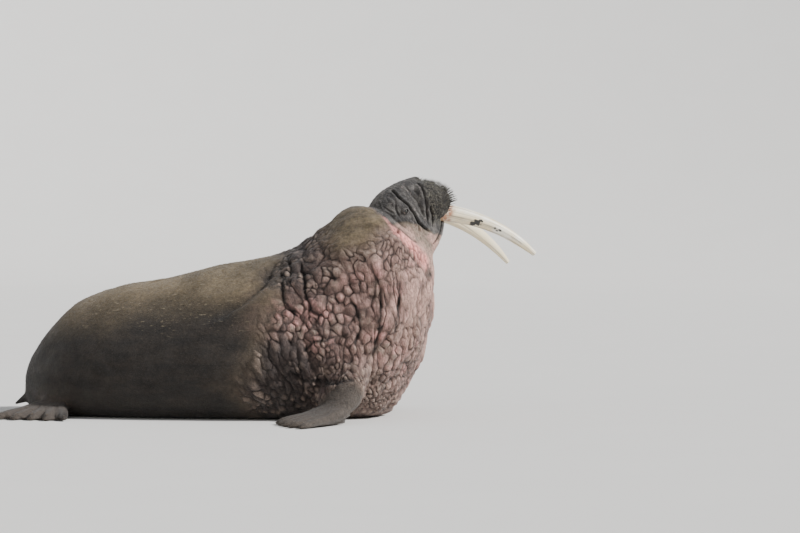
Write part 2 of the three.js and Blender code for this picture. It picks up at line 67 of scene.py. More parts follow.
# The head was drawn level, from a point midway between the eyes, with X to the nose and Z to the crown. The
# whisker pads are squared balls, with a lump behind each that fills the cheek.
HEAD_AT = Vector((2127.0, 10.0, 1076.0))
HEAD_TURNS = (("Z", 27.0), ("Y", -60.0), ("X", 7.0))

FLESH = ["hindquarters", "torso", "chest", "neck", "head", "lower_jaw", "tail"]
FLIPPERS = ["fore_flipper_right", "fore_flipper_left", "hind_flipper_right", "hind_flipper_left"]
PADS = {"whisker_pad_right": -1, "whisker_pad_left": 1}
PAD_AT = np.array((143.0, 66.0, -110.0))
PAD_RADII = np.array((88.0, 86.0, 112.0))
PAD_SQUARE = 2.4
PAD_BACK_AT = np.array((92.0, 62.0, -95.0))
PAD_BACK_RADII = (88, 79, 102)

# Tusks, in the head's frame: where they leave the gum, how long they are, how far they lean forward, the
# radius of their bend, how far they splay, and how much of their root is hidden.
GUM = (128.0, 58.0, -224.0)
TUSKS = {
    "tusk_left": {"side": 1, "length": 556.0, "lean": 13.4, "bend": 1060.0},
    "tusk_right": {"side": -1, "length": 555.0, "lean": 24.0, "bend": 890.0},
}
TUSK_SPLAY = 8.0
TUSK_ROOT = 75.0

# Flippers, as the solids have them: the wrist or ankle, the way it points from straight back out to the
# side, and each digit's turn and length from the leading edge.
FORE = {
    "wrist": (1925, 575),
    "heading": 52,
    "fan": (14, 7, 0, -8, -17),
    "reach": (400, 388, 358, 325, 285),
    "half": 118,
    "claw": 15,
}
HIND = {
    "wrist": (352, 318),
    "heading": 84,
    "fan": (24, 12, 0, -12, -24),
    "reach": (365, 335, 318, 335, 365),
    "half": 80,
    "claw": 21,
}
DIGIT_APART = 0.31

# How far the bake map of the coat reaches along the body, in millimetres, and how wide each tuft's patch is.
BODY_LENGTH = 2900.0
BAKE_PATCH = 0.003


# Places and frames.


def head_matrix():
    """Where the level head sits on the model, with its lengths in metres."""
    place = Matrix.Translation((HEAD_AT - DRAWN_FROM) * MM)
    for axis, angle in HEAD_TURNS:
        place = place @ Matrix.Rotation(radians(angle), 4, axis)
    return place


def moved(points, matrix):
    """Rows of points carried by a matrix."""
    grid = np.array(matrix)
    return points @ grid[:3, :3].T + grid[:3, 3]


def to_head(points):
    """Places on the model, in metres, as millimetres in the level head's frame."""
    return moved(points, head_matrix().inverted()) / MM


def from_head(points):
    """Millimetres in the level head's frame, as metres on the model."""
    return moved(points * MM, head_matrix())


def eye_centre(side):
    """The middle of an eyeball, in the level head's frame, in millimetres."""
    low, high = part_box("eye_left" if side > 0 else "eye_right")
    middle = (Vector(low) + Vector(high)) / 2
    return np.array(head_matrix().inverted() @ middle) / MM


def from_eyes(head):
    """How far each place on the head is from the middle of the nearer eyeball."""
    return np.min([np.linalg.norm(head - eye_centre(side), axis=1) for side in SIDES], axis=0)


def tusk_line(tusk, steps=24):
    """Points along the middle of a tusk, from inside its socket to its tip, in the head's frame."""
    outward = sin(radians(TUSK_SPLAY))

    def heading(run):
        tilt = radians(tusk["lean"]) - run / tusk["bend"]
        way = np.array((sin(tilt), tusk["side"] * outward, -cos(tilt)))
        return way / np.linalg.norm(way)

    at = np.array(GUM) * (1, tusk["side"], 1)
    points = [at - heading(0) * TUSK_ROOT]
    for n in range(steps + 1):
        points.append(at)
        at = at + heading((n + 0.5) * tusk["length"] / steps) * tusk["length"] / steps
    return np.array(points)


def digit_tips(flipper, side):
    """For each digit, its root and the way it points, on the ground, in metres."""
    turn = radians(flipper["heading"])
    lead = Vector((sin(turn), side * cos(turn), 0))
    wrist = Vector((flipper["wrist"][0], side * flipper["wrist"][1], 0))
    middle = len(flipper["fan"]) // 2
    made = []
    for n, (fan, reach) in enumerate(zip(flipper["fan"], flipper["reach"])):
        turn = radians(flipper["heading"] + fan)
        way = Vector((-cos(turn), side * sin(turn), 0))
        root = wrist + lead * flipper["half"] * DIGIT_APART * (middle - n)
        made.append(((root - DRAWN_FROM) * MM, way, reach * MM))
    return made


# Blender's own steps, done on one object at a time.


def pick(*pieces):
    bpy.ops.object.select_all(action="DESELECT")
    for piece in pieces:
        piece.select_set(True)
    bpy.context.view_layer.objects.active = pieces[0]


def apply_modifier(piece, kind, **settings):
    pick(piece)
    modifier = piece.modifiers.new(kind, kind)
    for name, value in settings.items():
        setattr(modifier, name, value)
    bpy.ops.object.modifier_apply(modifier=modifier.name)


def joined(pieces):
    pick(*pieces)
    if len(pieces) > 1:
        bpy.ops.object.join()
    return bpy.context.object


def edit_all(piece, operator, **settings):
    """Runs one of edit mode's operators on all of a piece."""
    pick(piece)
    bpy.ops.object.mode_set(mode="EDIT")
    bpy.ops.mesh.select_all(action="SELECT")
    operator(**settings)
    bpy.ops.object.mode_set(mode="OBJECT")


def copy_of(node):
    """A loose copy of a solid, with its triangles merged."""
    pick(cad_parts[node])
    bpy.ops.object.duplicate()
    piece = bpy.context.object
    edit_all(piece, bpy.ops.mesh.remove_doubles, threshold=0.01 * MM)
    return piece


def add_lump(at, radii, square=2.0, segments=48):
    """A rounded lump in the level head's frame, in millimetres."""
    bpy.ops.object.select_all(action="DESELECT")
    bpy.ops.mesh.primitive_uv_sphere_add(segments=segments, ring_count=segments // 2, radius=1)
    piece = bpy.context.object
    ball = points_of(piece)
    ball /= (np.abs(ball) ** square).sum(1, keepdims=True) ** (1 / square)
    place_points(piece, from_head(ball * radii + at))
    return piece


def shade_smooth(piece):
    pick(piece)
    bpy.ops.object.shade_smooth()


def new_piece(name, spots, faces, places):
    """A piece from points and faces, with the bake map of a coat."""
    mesh = bpy.data.meshes.new(name)
    mesh.from_pydata(spots, [], faces)
    piece = bpy.data.objects.new(name, mesh)
    bpy.context.scene.collection.objects.link(piece)
    bake_patches(piece, places)
    return piece


def bake_patches(piece, places):
    """The bake map of a coat: every tuft or bristle is a small patch at its root's place."""
    corners = corners_of(piece)
    order = np.arange(len(corners)) % 4
    patch = np.stack([order % 2, order // 2], 1) * BAKE_PATCH - BAKE_PATCH / 2
    layer = piece.data.uv_layers.new(name="OFBake")
    layer.data.foreach_set("uv", (places[corners] + patch).astype(np.float32).ravel())


def corners_of(piece):
    """The vertex at each corner of each face."""
    corners = np.empty(len(piece.data.loops), np.int32)
    piece.data.loops.foreach_get("vertex_index", corners)
    return corners


def points_of(piece):
    points = np.empty(len(piece.data.vertices) * 3, np.float32)
    piece.data.vertices.foreach_get("co", points)
    return points.reshape(-1, 3).astype(float)


def normals_of(piece):
    normals = np.empty(len(piece.data.vertices) * 3, np.float32)
    piece.data.vertex_normals.foreach_get("vector", normals)
    return normals.reshape(-1, 3).astype(float)


def place_points(piece, points):
    piece.data.vertices.foreach_set("co", np.ascontiguousarray(points, np.float32).ravel())
    piece.data.update()


def set_weights(piece, name, weights):
    """A vertex group whose weights are rounded to hundredths."""
    group = piece.vertex_groups.new(name=name)
    hundredths = np.round(np.clip(weights, 0, 1) * 100).astype(int)
    for weight in np.unique(hundredths):
        group.add(np.flatnonzero(hundredths == weight).tolist(), weight / 100, "REPLACE")


def store(piece, name, values):
    """Keeps one number from 0 to 1 a vertex on the mesh, for its material to read."""
    layer = piece.data.attributes.new(name, "FLOAT", "POINT")
    layer.data.foreach_set("value", np.ascontiguousarray(np.clip(values, 0, 1), np.float32))


# Shapes of the hide, worked out at every vertex at once.


def step(values, low, high):
    """A smooth rise from 0 at low to 1 at high."""
    share = np.clip((values - low) / (high - low), 0, 1)
    return share * share * (3 - 2 * share)


def bell(values, wide):
    """1 in the middle of a line and 0 away from it, where wide is half its width."""
    return np.exp(-((values / wide) ** 2))


def draw(i, j, k, seed):
    """A repeatable draw from 0 to 1 for whole numbers i, j and k."""
    value = np.sin(i * 127.1 + j * 311.7 + k * 74.7 + seed * 53.9) * 43758.5453
    return value - np.floor(value)


def waves(points, size, seed):
    """Soft noise from -1 to 1, about size millimetres from crest to crest."""
    spot = (points / size).T
    home = np.floor(spot)
    part = spot - home
    part = part * part * (3 - 2 * part)
    weights = [(1 - share, share) for share in part]
    i, j, k = home
    total = np.zeros(len(points))
    for corner in range(8):
        a, b, c = corner & 1, corner >> 1 & 1, corner >> 2 & 1
        total += weights[0][a] * weights[1][b] * weights[2][c] * draw(i + a, j + b, k + c, seed)
    return 2 * total - 1


def stirred(points, size, seeds, far):
    """Shifts of up to far millimetres that change over about size millimetres, a column for each seed."""
    return np.stack([waves(points, size, seed) for seed in seeds], 1) * far


# Farther than the middle of any cell or boss, as a share of its size.
FAR = 9.0


def cells(points, size, seed):
    """How far each point is from the border between two uneven cells, as a share of their size."""
    x, y, z = (points / size).T
    home = np.floor((x, y, z))
    nearest = np.full(len(points), FAR)
    second = np.full(len(points), FAR)
    for n in range(27):
        i, j, k = home[0] + n % 3 - 1, home[1] + n // 3 % 3 - 1, home[2] + n // 9 - 1
        away = (x - i - draw(i, j, k, seed)) ** 2
        away += (y - j - draw(j, k, i, seed)) ** 2
        away += (z - k - draw(k, i, j, seed)) ** 2
        distance = np.sqrt(away)
        second = np.minimum(second, np.maximum(nearest, distance))
        nearest = np.minimum(nearest, distance)
    return second - nearest


def line_distance(across, path):
    """Distance of points from a line of corners, and how far along it the nearest spot is."""
    best = np.full(len(across), np.inf)
    along = np.zeros(len(across))
    path = np.array(path, float)
    for n, (start, end) in enumerate(zip(path[:-1], path[1:])):
        run = end - start
        share = np.clip((across - start) @ run / (run @ run), 0, 1)
        distance = np.linalg.norm(across - start - share[:, None] * run, axis=1)
        along = np.where(distance < best, (n + share) / (len(path) - 1), along)
        best = np.minimum(best, distance)
    return best, along


# Deep creases of the neck and shoulder, as lines in side view (X, Z), with their depth and width.
CREASES = [
    ([(1680, 836), (1707, 763), (1733, 678), (1765, 578), (1850, 546)], 13, 8),
    ([(1565, 795), (1601, 729), (1606, 652), (1659, 588), (1723, 535)], 9, 8),
    ([(1832, 795), (1898, 723)], 9, 8),
    ([(1733, 362), (1788, 405), (1859, 422), (1913, 451)], 9, 9),
    ([(1590, 862), (1622, 800), (1640, 742)], 8, 8),
    ([(1960, 640), (2010, 560), (2025, 470), (1990, 380)], 8, 8),
    ([(2120, 700), (2128, 560), (2110, 430), (2080, 330)], 8, 8),
    ([(2205, 720), (2212, 600), (2200, 450)], 7, 7),
    ([(1650, 250), (1760, 215), (1900, 205), (2040, 230)], 8, 11),
]
# The raised lip beside a crease: how far off it lies and how wide it is, as shares of the crease's width,
# and its height as a share of the depth.
CREASE_LIP = (2.6, 1.6, 0.15)
# Long soft ridges and hollows of the flank, as the creases are given, with their rise in place of a depth.
FLANK_FOLDS = [
    ([(1060, 596), (1234, 634), (1341, 655), (1400, 706), (1440, 790)], 9, 38),
    ([(1210, 480), (1319, 552), (1392, 612), (1450, 664), (1495, 716), (1530, 790), (1550, 850)], -26, 25),
    ([(1180, 430), (1305, 515), (1431, 585), (1548, 645), (1640, 700)], 11, 28),
    ([(1240, 380), (1380, 440), (1520, 520), (1620, 580)], -8, 38),
    ([(620, 300), (820, 262), (1050, 250), (1280, 275)], -7, 40),
    ([(560, 520), (620, 430), (640, 330)], -6, 34),
]

# Folds of the head in its side view (X to the nose, Z to the crown), the same on both sides.
FACE_FOLDS = [
    ([(98, 118), (74, 90), (61, 67), (50, 14), (20, -40), (-6, -80), (-14, -125), (-14, -185)], 13, 5.5),
    ([(190, 10), (166, -16), (146, -34), (112, -58), (76, -93), (47, -114), (8, -142)], 7, 5.5),
    ([(104, -92), (90, -105), (72, -139), (38, -164), (10, -176)], 6, 5),
    ([(150, 62), (120, 24), (96, -14), (64, -62), (30, -104)], 3.5, 6),
    ([(44, 84), (20, 70), (-8, 54), (-34, 26)], 5, 6),
    ([(-40, 104), (-52, 60), (-62, 14), (-64, -34)], 5, 7),
    ([(34, -30), (8, -60), (-22, -84), (-50, -100)], 4, 5),
    ([(-84, 96), (-92, 30), (-102, -40), (-112, -110)], 6, 7),
    ([(-20, 112), (-30, 84), (-36, 52)], 4, 6),
]
FACE_LIP = (2.4, 1.5, 0.3)
LIP_LINE = [(118, -214), (88, -227), (53, -231), (21, -235), (-20, -232), (-52, -222)]
RAW_BAND = [(-84, 100), (-100, 68), (-116, 20), (-138, -38), (-156, -100), (-176, -165)]
EAR_AT = np.array((-107.0, 22.0))
NOSTRIL_AT = np.array((212.0, 25.0, -4.0))
EYE_RADIUS = 20.0

# Where the head ends against the neck, where its dark grey ends, and where the bristled part of the pads
# starts: for each height on the head, how far along it.
HEAD_EDGE = {
    "up": (-330, -140, -40, 22, 75, 126, 161, 240),
    "along": (-150, -134, -118, -104, -90, -70, -48, -8),
}
DARK_EDGE = {"up": (-250, -172, -80, -30, 20, 60, 110), "along": (6, -14, -22, -34, -64, -90, -140)}
PAD_EDGE = {"up": (-240, -164, -142, -114, -93, -58, -34, 0), "along": (44, 34, 40, 66, 90, 122, 152, 196)}

# Bosses of the neck and chest, in millimetres: how wide and how tall they are on the skin and how far they
# rise, where the hide is cobbled, where it is drawn out into upright ridges, and on the smooth nape.
COBBLED = (37, 47, 12)
DRAWN_OUT = (28, 104, 9)
NAPE = (28, 96, 2.2)
# The square of the least distance between the middles of two bosses, as a share of their widths, the most
# bosses there may be, and how many vertices there are to each one that is tried as a middle.
BOSS_APART_SQUARED = 0.74
MOST_BOSSES = 4000
VERTICES_A_TRY = 12
# The bosses nearest a point are looked for block by block, this far past each block.
BOSS_BLOCK = 200.0
BOSS_REACH = 120.0


# The hump of the nape in side view: its middle and its half sizes.
HUMP_AT = (1945, 1075)
HUMP_RADII = (235, 215)


class Hide:
    """What every vertex of the skin needs to know of its place on the walrus."""

    def __init__(self, points):
        self.drawn = points / MM + np.array(DRAWN_FROM)
        self.head = to_head(points)
        x, y, z = self.drawn.T
        along, _, up = self.head.T
        self.face = step(past(HEAD_EDGE, up, along), -8, 10) * step(up, -330, -250) * step(x, 1960, 2010)
        hump = -(((x - HUMP_AT[0]) / HUMP_RADII[0]) ** 2) - ((z - HUMP_AT[1]) / HUMP_RADII[1]) ** 2
        self.hump = step(np.exp(hump) + 0.12 * waves(self.drawn, 110, 8), 0.2, 0.72) * (1 - self.face)
        fore = step(np.abs(y), 520, 590) * step(x, 1300, 1400)
        hind = step(np.abs(y), 215, 275) * (1 - step(z, 95, 135)) * (1 - step(x, 430, 520))
        self.flipper = np.maximum(fore, hind) * (1 - self.face)
        start = 1490 + 0.12 * (z - 300) + 110 * waves(self.drawn, 200, 3) + 45 * waves(self.drawn, 55, 4)
        self.bossed = step(x, start - 130, start + 90) * (1 - self.face) * (1 - self.flipper)
        self.trunk = (1 - step(x, 1300, 1560)) * (1 - self.flipper)
        front = step(x, 1990, 2110) * step(z, 430, 560)
        self.drawn_out = np.maximum(front, 0.8 * step(z, 740, 860)) * (1 - self.hump)
        belt = step(z + 0.25 * (x - 1800) + 70 * waves(self.drawn, 150, 86), 300, 420)
        belt *= 1 - step(z - 0.3 * (x - 1800) + 90 * waves(self.drawn, 170, 87), 640, 830)
        patchy = 0.45 + 0.55 * step(waves(self.drawn, 95, 88), -0.3, 0.3)
        self.pink = np.maximum(belt, step(x, 2080, 2230)) * patchy
        # Warmer and lighter towards the front of the neck: partly its own ruddy tone, partly painted light on
        # the side facing the key, with painted shade on the bossed hide behind.
        ruddy_and_lit = step(x + 90 * waves(self.drawn, 180, 84) + 0.15 * (z - 500), 1640, 2080)
        self.ruddy_and_lit = np.maximum(ruddy_and_lit, 0.75 * self.pink)


def past(edge, up, along):
    """How far in front of an edge of the head each place is."""
    return along - np.interp(up, edge["up"], edge["along"])


def boss_centres(bent, sizes, seed):
    """Picks places at least a boss's width apart, and says which they are."""
    kept = np.empty((MOST_BOSSES, 6))
    chosen = []
    for n in np.argsort(draw(np.arange(len(bent)), 1, 2, seed)):
        others = kept[: len(chosen)]
        apart = (bent[n] - others[:, :3]) * 2 / (sizes[n] + others[:, 3:])
        if len(chosen) and (apart**2).sum(1).min() < BOSS_APART_SQUARED:
            continue
        kept[len(chosen)] = (*bent[n], *sizes[n])
        chosen.append(n)
    return np.array(chosen)


def boss_cells(bent, centres, sizes):
    """For each point, how far it is in from its boss's edge and out from its middle, and the two nearest."""
    gap, closest = np.ones(len(bent)), np.ones(len(bent))
    first, second = np.zeros(len(bent), int), np.zeros(len(bent), int)
    blocks, block = np.unique(np.floor(bent / BOSS_BLOCK), axis=0, return_inverse=True)
    order = np.argsort(block.ravel(), kind="stable")
    ends = np.searchsorted(block.ravel()[order], np.arange(len(blocks) + 1))
    for n, corner in enumerate(blocks):
        mine = order[ends[n] : ends[n + 1]]
        low = corner * BOSS_BLOCK - BOSS_REACH
        high = (corner + 1) * BOSS_BLOCK + BOSS_REACH
        near = np.flatnonzero(((centres > low) & (centres < high)).all(1))
        if len(near) < 2:
            continue
        distance = np.linalg.norm((bent[mine, None] - centres[near]) / sizes[near], axis=2)
        rows = np.arange(len(mine))
        nearest = distance.argmin(1)
        closest[mine] = distance[rows, nearest]
        distance[rows, nearest] = FAR
        other = distance.argmin(1)
        gap[mine] = distance[rows, other] - closest[mine]
        first[mine], second[mine] = near[nearest], near[other]
    return gap, closest, first, second


def boss_relief(hide):
    """Height of the bossed hide, each vertex's share of a boss's crown, its own pink with a painted
    highlight, and painted shade in the furrows between them.
    """
    chosen = np.flatnonzero(hide.bossed > 0.01)
    drawn = hide.drawn[chosen]
    hump = hide.hump[chosen, None]
    long = hide.drawn_out[chosen, None]
    plan = np.array(COBBLED) * (1 - long) + np.array(DRAWN_OUT) * long
    plan = plan * (1 - hump) + np.array(NAPE) * hump
    small = 1 - 0.18 * step(drawn[:, 0], 1980, 2160) * (1 - step(drawn[:, 2], 380, 520))
    plan[:, :2] *= (small * (1 + 0.5 * waves(drawn, 100, 32)))[:, None]
    sizes = plan[:, [0, 0, 1]]
    warp = stirred(drawn, 40, (11, 12, 13), 10) + stirred(drawn, 190, (14, 15, 16), 26)
    bent = drawn + warp
    bent[:, 0] += np.interp(drawn[:, 0], (1500, 2120), (0.5, 0)) * (drawn[:, 2] - 600)
    some = np.arange(0, len(chosen), VERTICES_A_TRY)
    picked = some[boss_centres(bent[some], sizes[some], 21)]
    gap, closest, first, second = boss_cells(bent, bent[picked], sizes[picked])
    home = picked[first]
    mark = draw(first, 3, 5, 22)
    other_mark = draw(first, 7, 2, 23)
    apart = np.abs(bent[home] - bent[picked[second]]) / sizes[home]
    crosswise = step(apart[:, 2] - np.hypot(apart[:, 0], apart[:, 1]), 0.1, 0.7)
    shared = step(draw(np.minimum(first, second), np.maximum(first, second), 1, 24), 0.14, 0.5)
    shared *= 1 - 0.85 * crosswise * np.maximum(0.3, np.maximum(long, hump)[:, 0])

    ruddy_and_lit = hide.ruddy_and_lit[chosen][home]
    plain = mark < 0.66 * (1 - ruddy_and_lit)
    rise = plan[home, 2] * np.where(plain, 0.55, 0.6 + 0.6 * other_mark)
    share = np.clip(gap / 0.7 + 0.9 * (1 - shared), 0, 1)
    crown = 1 - np.clip(closest / 0.66, 0, 1) ** 2
    dome = 0.5 * np.sqrt(share * (2 - share)) + 0.5 * crown
    cleft = 1 - step(gap * sizes[home, 0] / 2, 0.5, 3.8)
    cleft *= (0.12 + 0.88 * shared) * np.where(plain, 0.75, 1) * (1 - 0.7 * hump[:, 0])
    fold_gap = cells(bent, np.array([125.0, 125.0, 240.0]), 25)
    fold = 1 - step(fold_gap, 0, 0.09)
    bare = 1 - hump[:, 0]
    strong = hide.bossed[chosen]
    knobs = waves(drawn, 14, 33) * 1.2 * bare
    swell = bare * (8 * step(fold_gap, 0, 0.5) - 5 - 4 * fold)
    height = strong * ((dome - 0.7) * rise + knobs * dome + swell - 3.5 * cleft)
    pink = np.where(plain, 0.12, 0.45 + 0.55 * step(other_mark + 0.3 * ruddy_and_lit, 0.25, 0.95))
    # The crown of each boss is lighter: partly its own pink, partly a painted highlight.
    pink_lit_top = strong * step(crown, 0.05, 0.9) * (1 - cleft) * pink * (1 - 0.9 * hump[:, 0])
    # The third result is painted shade in the clefts between bosses and along the fold lines.
    results = [height, pink_lit_top, strong * np.maximum(cleft, 0.8 * fold * bare)]
    spread = []
    for values in results:
        whole = np.zeros(len(hide.drawn))
        whole[chosen] = values
        spread.append(whole)
    return spread


def folded(side_view, folds, within, lip, fade, full_shade_depth):
    """Depth and painted shade of folds that are drawn as lines in side view, each with a raised lip beside
    it.
    """
    lip_away, lip_wide, lip_rise = lip
    depth = np.zeros(len(side_view))
    dark = np.zeros(len(side_view))
    for path, deep, wide in folds:
        distance, share = line_distance(side_view, path)
        ends = step(share, 0, 0.12) * (1 - step(share, fade, 1))
        cut = bell(distance, wide) * ends * within
        raised = bell(distance - lip_away * wide, lip_wide * wide) * ends * within
        depth += raised * deep * lip_rise - cut * deep
        dark = np.maximum(dark, cut * min(1, deep / full_shade_depth))
    return depth, dark


def crease_relief(hide):
    """The named creases, as depth and as painted shade."""
    side_view = hide.drawn[:, [0, 2]] + stirred(hide.drawn, 60, (41, 42), 9)
    flank = step(np.abs(hide.drawn[:, 1]), 60, 160) * (1 - hide.face)
    return folded(side_view, CREASES, flank, CREASE_LIP, 0.85, 7)


def face_relief(hide):
    """Folds, lines and pores of the head, and the mouth, nostrils and ear openings, with painted shade in the
    folds, lines and openings.
    """
    along, side, up = hide.head.T
    warp = stirred(hide.head, 34, (51, 52), 4)
    side_view = hide.head[:, [0, 2]] + warp
    cheek = step(np.abs(side), 30, 70) * step(along, -170, -140)
    depth, dark = folded(side_view, FACE_FOLDS, cheek, FACE_LIP, 0.86, 8)

    # Painted shade below and behind the eye.
    under_eye_shade = np.exp(-(((along + 28) / 32) ** 2) - ((up + 16) / 46) ** 2) * cheek
    dark = np.maximum(dark, under_eye_shade * (0.3 + 0.15 * waves(hide.head, 14, 54)))

    distance = line_distance(hide.head[:, [0, 2]], LIP_LINE)[0]
    mouth = bell(distance, 4.5) * step(np.abs(side), 18, 44)
    lips = bell(distance - 11, 7) * step(np.abs(side), 24, 60)
    depth += lips * 3.0 - mouth * 8
    dark = np.maximum(dark, mouth)

    ear = np.linalg.norm(side_view - EAR_AT, axis=1)
    near_ear = step(np.abs(side), 120, 160)
    depth += near_ear * (2.5 * bell(ear - 16, 7) - 15 * bell(ear, 7.5))
    dark = np.maximum(dark, near_ear * bell(ear, 7.5))

    for way in SIDES:
        turn = np.array(Matrix.Rotation(radians(way * 38), 3, "X"))
        ahead, out, high = ((hide.head - NOSTRIL_AT * (1, way, 1)) @ turn).T
        bowed = out + way * high**2 / 60
        slot = np.exp(-((ahead / 15) ** 4) - (bowed / 5) ** 2 - (high / 13) ** 4)
        depth -= slot * 11
        dark = np.maximum(dark, slot)

    padded = past(PAD_EDGE, up, along)
    on_pad = step(padded + 10 * waves(hide.head, 22, 53), -10, 34) * step(up, -236, -214) * hide.face
    middle = bell(side, 9) * step(along, 165, 190) * (1 - step(up, -50, -20))
    depth -= middle * 9
    dark = np.maximum(dark, middle * 0.9)

    chosen = hide.face > 0.01
    skewed = hide.head @ np.array(Matrix.Rotation(radians(-58), 3, "Y"))
    stir = warp.repeat(2, 1)[:, :3]
    gap = np.ones(len(along))
    fine = np.ones(len(along))
    gap[chosen] = cells(skewed[chosen], np.array([40.0, 34.0, 17.0]), 61)
    fine[chosen] = cells((skewed + stir)[chosen], np.array([17.0, 12.0, 9.0]), 62)
    depth += hide.face * (step(gap, 0, 0.4) - 0.6) * (1.8 - on_pad)
    depth += on_pad * (step(fine, 0, 0.5) - 0.6) * 2.4
    dark = np.maximum(dark, hide.face * 0.4 * (1 - step(gap, 0, 0.12)) * (1 - on_pad))
    pores = on_pad * (1 - step(fine, 0.05, 0.3)) * 0.8
    return depth, dark, pores, lips * hide.face, on_pad


def trunk_relief(hide):
    """Long soft folds of the trunk and the flank, and the fine upright wrinkles of the nape, with painted
    shade in the wrinkles and the flank's hollows.
    """
    x, y = hide.drawn.T[:2]
    folds = waves(hide.drawn * (1, 1, 0.55), 120, 71) * 4 + waves(hide.drawn, 48, 72) * 1.6
    side_view = hide.drawn[:, [0, 2]] + stirred(hide.drawn, 80, (78, 79), 12)
    flank = step(np.abs(y), 130, 270) * (1 - hide.flipper)
    ridges = np.zeros(len(x))
    for path, rise, wide in FLANK_FOLDS:
        distance, share = line_distance(side_view, path)
        ends = step(share, 0, 0.25) * (1 - step(share, 0.75, 1))
        ridges += bell(distance, wide) * ends * flank * rise * (1 - 0.45 * step(y, 0, 100))
    gap = np.ones(len(x))
    chosen = hide.hump > 0.01
    bent = hide.drawn[chosen] * (1, 1, 0.3) + waves(hide.drawn[chosen], 60, 73)[:, None] * 8
    gap[chosen] = cells(bent, np.array([26.0] * 3), 74)
    nape = hide.hump * (step(gap, 0, 0.35) - 0.7) * 1.6
    toes = hide.flipper * waves(hide.drawn, 16, 77) * 1.2
    height = hide.trunk * folds + ridges + nape + toes
    # Painted shade in the nape's wrinkles and the flank's hollows.
    return height, np.clip(hide.hump * (1 - step(gap, 0, 0.2)) * 0.25 - ridges / 40, 0, 0.7)


def lids(points):
    """Lays the skin of the head over the eyeballs, with an almond opening and a fold over each, and gives
    painted shade in the opening and the fold's crease.
    """
    dark = np.zeros(len(points))
    for side in SIDES:
        offset = points - eye_centre(side)
        reach = np.linalg.norm(offset, axis=1)
        way = offset / reach[:, None]
        slant = radians(-20)
        run = offset[:, 0] * cos(slant) + offset[:, 2] * sin(slant)
        rise = offset[:, 2] * cos(slant) - offset[:, 0] * sin(slant)
        width = np.hypot(run, rise)
        almond = (np.abs(run) / 15.5) ** 1.7 + np.abs(rise / np.where(rise > 0, 6.0, 7.5)) ** 1.9
        upper = step(rise, -4, 8)
        brim = bell(almond - 1.7, 0.6) * 2.0
        crease = bell(width - 23, 3.2) * (3.6 * upper + 1.8 * (1 - upper))
        lid = 13 + (EYE_RADIUS - 9.6) * step(almond, 0.86, 1.12) + brim - crease
        share = (1 - step(width, 23, 38)) * step(way[:, 1] * side, 0.0, 0.3)
        points += way * ((lid - reach) * share)[:, None]
        # Painted shade in the eye's opening and in the crease of its fold.
        dark = np.maximum(dark, share * np.maximum(1 - step(almond, 1.0, 1.5), 0.7 * crease / 3.6))
    return dark


# Materials.


def linear(code):
    """A linear colour from an sRGB hex value."""
    channels = [int(code[n : n + 2], 16) / 255 for n in (1, 3, 5)]
    return [c / 12.92 if c <= 0.04045 else ((c + 0.055) / 1.055) ** 2.4 for c in channels] + [1.0]


def node(tree, kind, inputs=None, **settings):
    """Adds a node, sets its options, and sets or links its inputs."""
    made = tree.nodes.new("ShaderNode" + kind)
    for name, value in settings.items():
        setattr(made, name, value)
    for name, value in (inputs or {}).items():
        fill(tree, made.inputs[name], value)
    return made


def fill(tree, socket, value):
    """Gives a socket a link, a value or, from an sRGB hex value, a colour."""
    if isinstance(value, bpy.types.NodeSocket):
        tree.links.new(value, socket)
    else:
        socket.default_value = linear(value) if isinstance(value, str) else value


def new_material(name):
    material = bpy.data.materials.new(name)
    material.use_nodes = True
    material.node_tree.nodes.clear()
    return material, material.node_tree


def finished(material, inputs):
    """Ends a material in a Principled shader."""
    shader = node(material.node_tree, "BsdfPrincipled", inputs)
    node(material.node_tree, "OutputMaterial", {"Surface": shader.outputs["BSDF"]})
    return material


def attribute(tree, name):
    return node(tree, "Attribute", attribute_name=name).outputs["Fac"]


def mixed(tree, share, first, second):
    """A colour between two. The share may be the name of one of the mesh's own attributes."""
    mix = node(tree, "Mix", data_type="RGBA")
    fill(tree, mix.inputs[0], attribute(tree, share) if isinstance(share, str) else share)
    for name, value in (("A", first), ("B", second)):
        fill(tree, next(s for s in mix.inputs if s.name == name and s.type == "RGBA"), value)
    return next(s for s in mix.outputs if s.type == "RGBA")


def layered(tree, colour, layers):
    """A colour with others laid over it, each with its share."""
    for share, over in layers:
        colour = mixed(tree, share, colour, over)
    return colour


def sums(tree, operation, first, second, third=0.0, clamp=False):
    inputs = {0: first, 1: second, 2: third}
    return node(tree, "Math", inputs, operation=operation, use_clamp=clamp).outputs[0]


def kept_to(tree, name, pattern):
    """A pattern kept to where one of the mesh's own attributes says."""
    return sums(tree, "MULTIPLY", attribute(tree, name), pattern)


def eased(tree, value, low, high, to_low=0.0, to_high=1.0):
    inputs = {"Value": value, "From Min": low, "From Max": high, "To Min": to_low, "To Max": to_high}
    return node(tree, "MapRange", inputs, interpolation_type="SMOOTHSTEP").outputs["Result"]


def stretched(tree, place, stretch, offset=0.0):
    """Coordinates on which a pattern is drawn out along each axis."""
    inputs = {"Vector": place, "Scale": tuple(1 / s for s in stretch), "Location": (offset,) * 3}
    return node(tree, "Mapping", inputs).outputs["Vector"]


def noise(tree, size_mm, detail=3.0, roughness=0.6, stretch=(1, 1, 1), offset=0.0):
    """Noise on Object coordinates, with features of about the given size."""
    place = stretched(tree, node(tree, "TexCoord").outputs["Object"], stretch, offset)
    inputs = {"Vector": place, "Scale": 1 / (size_mm * MM * 2), "Detail": detail, "Roughness": roughness}
    return node(tree, "TexNoise", inputs).outputs["Fac"]


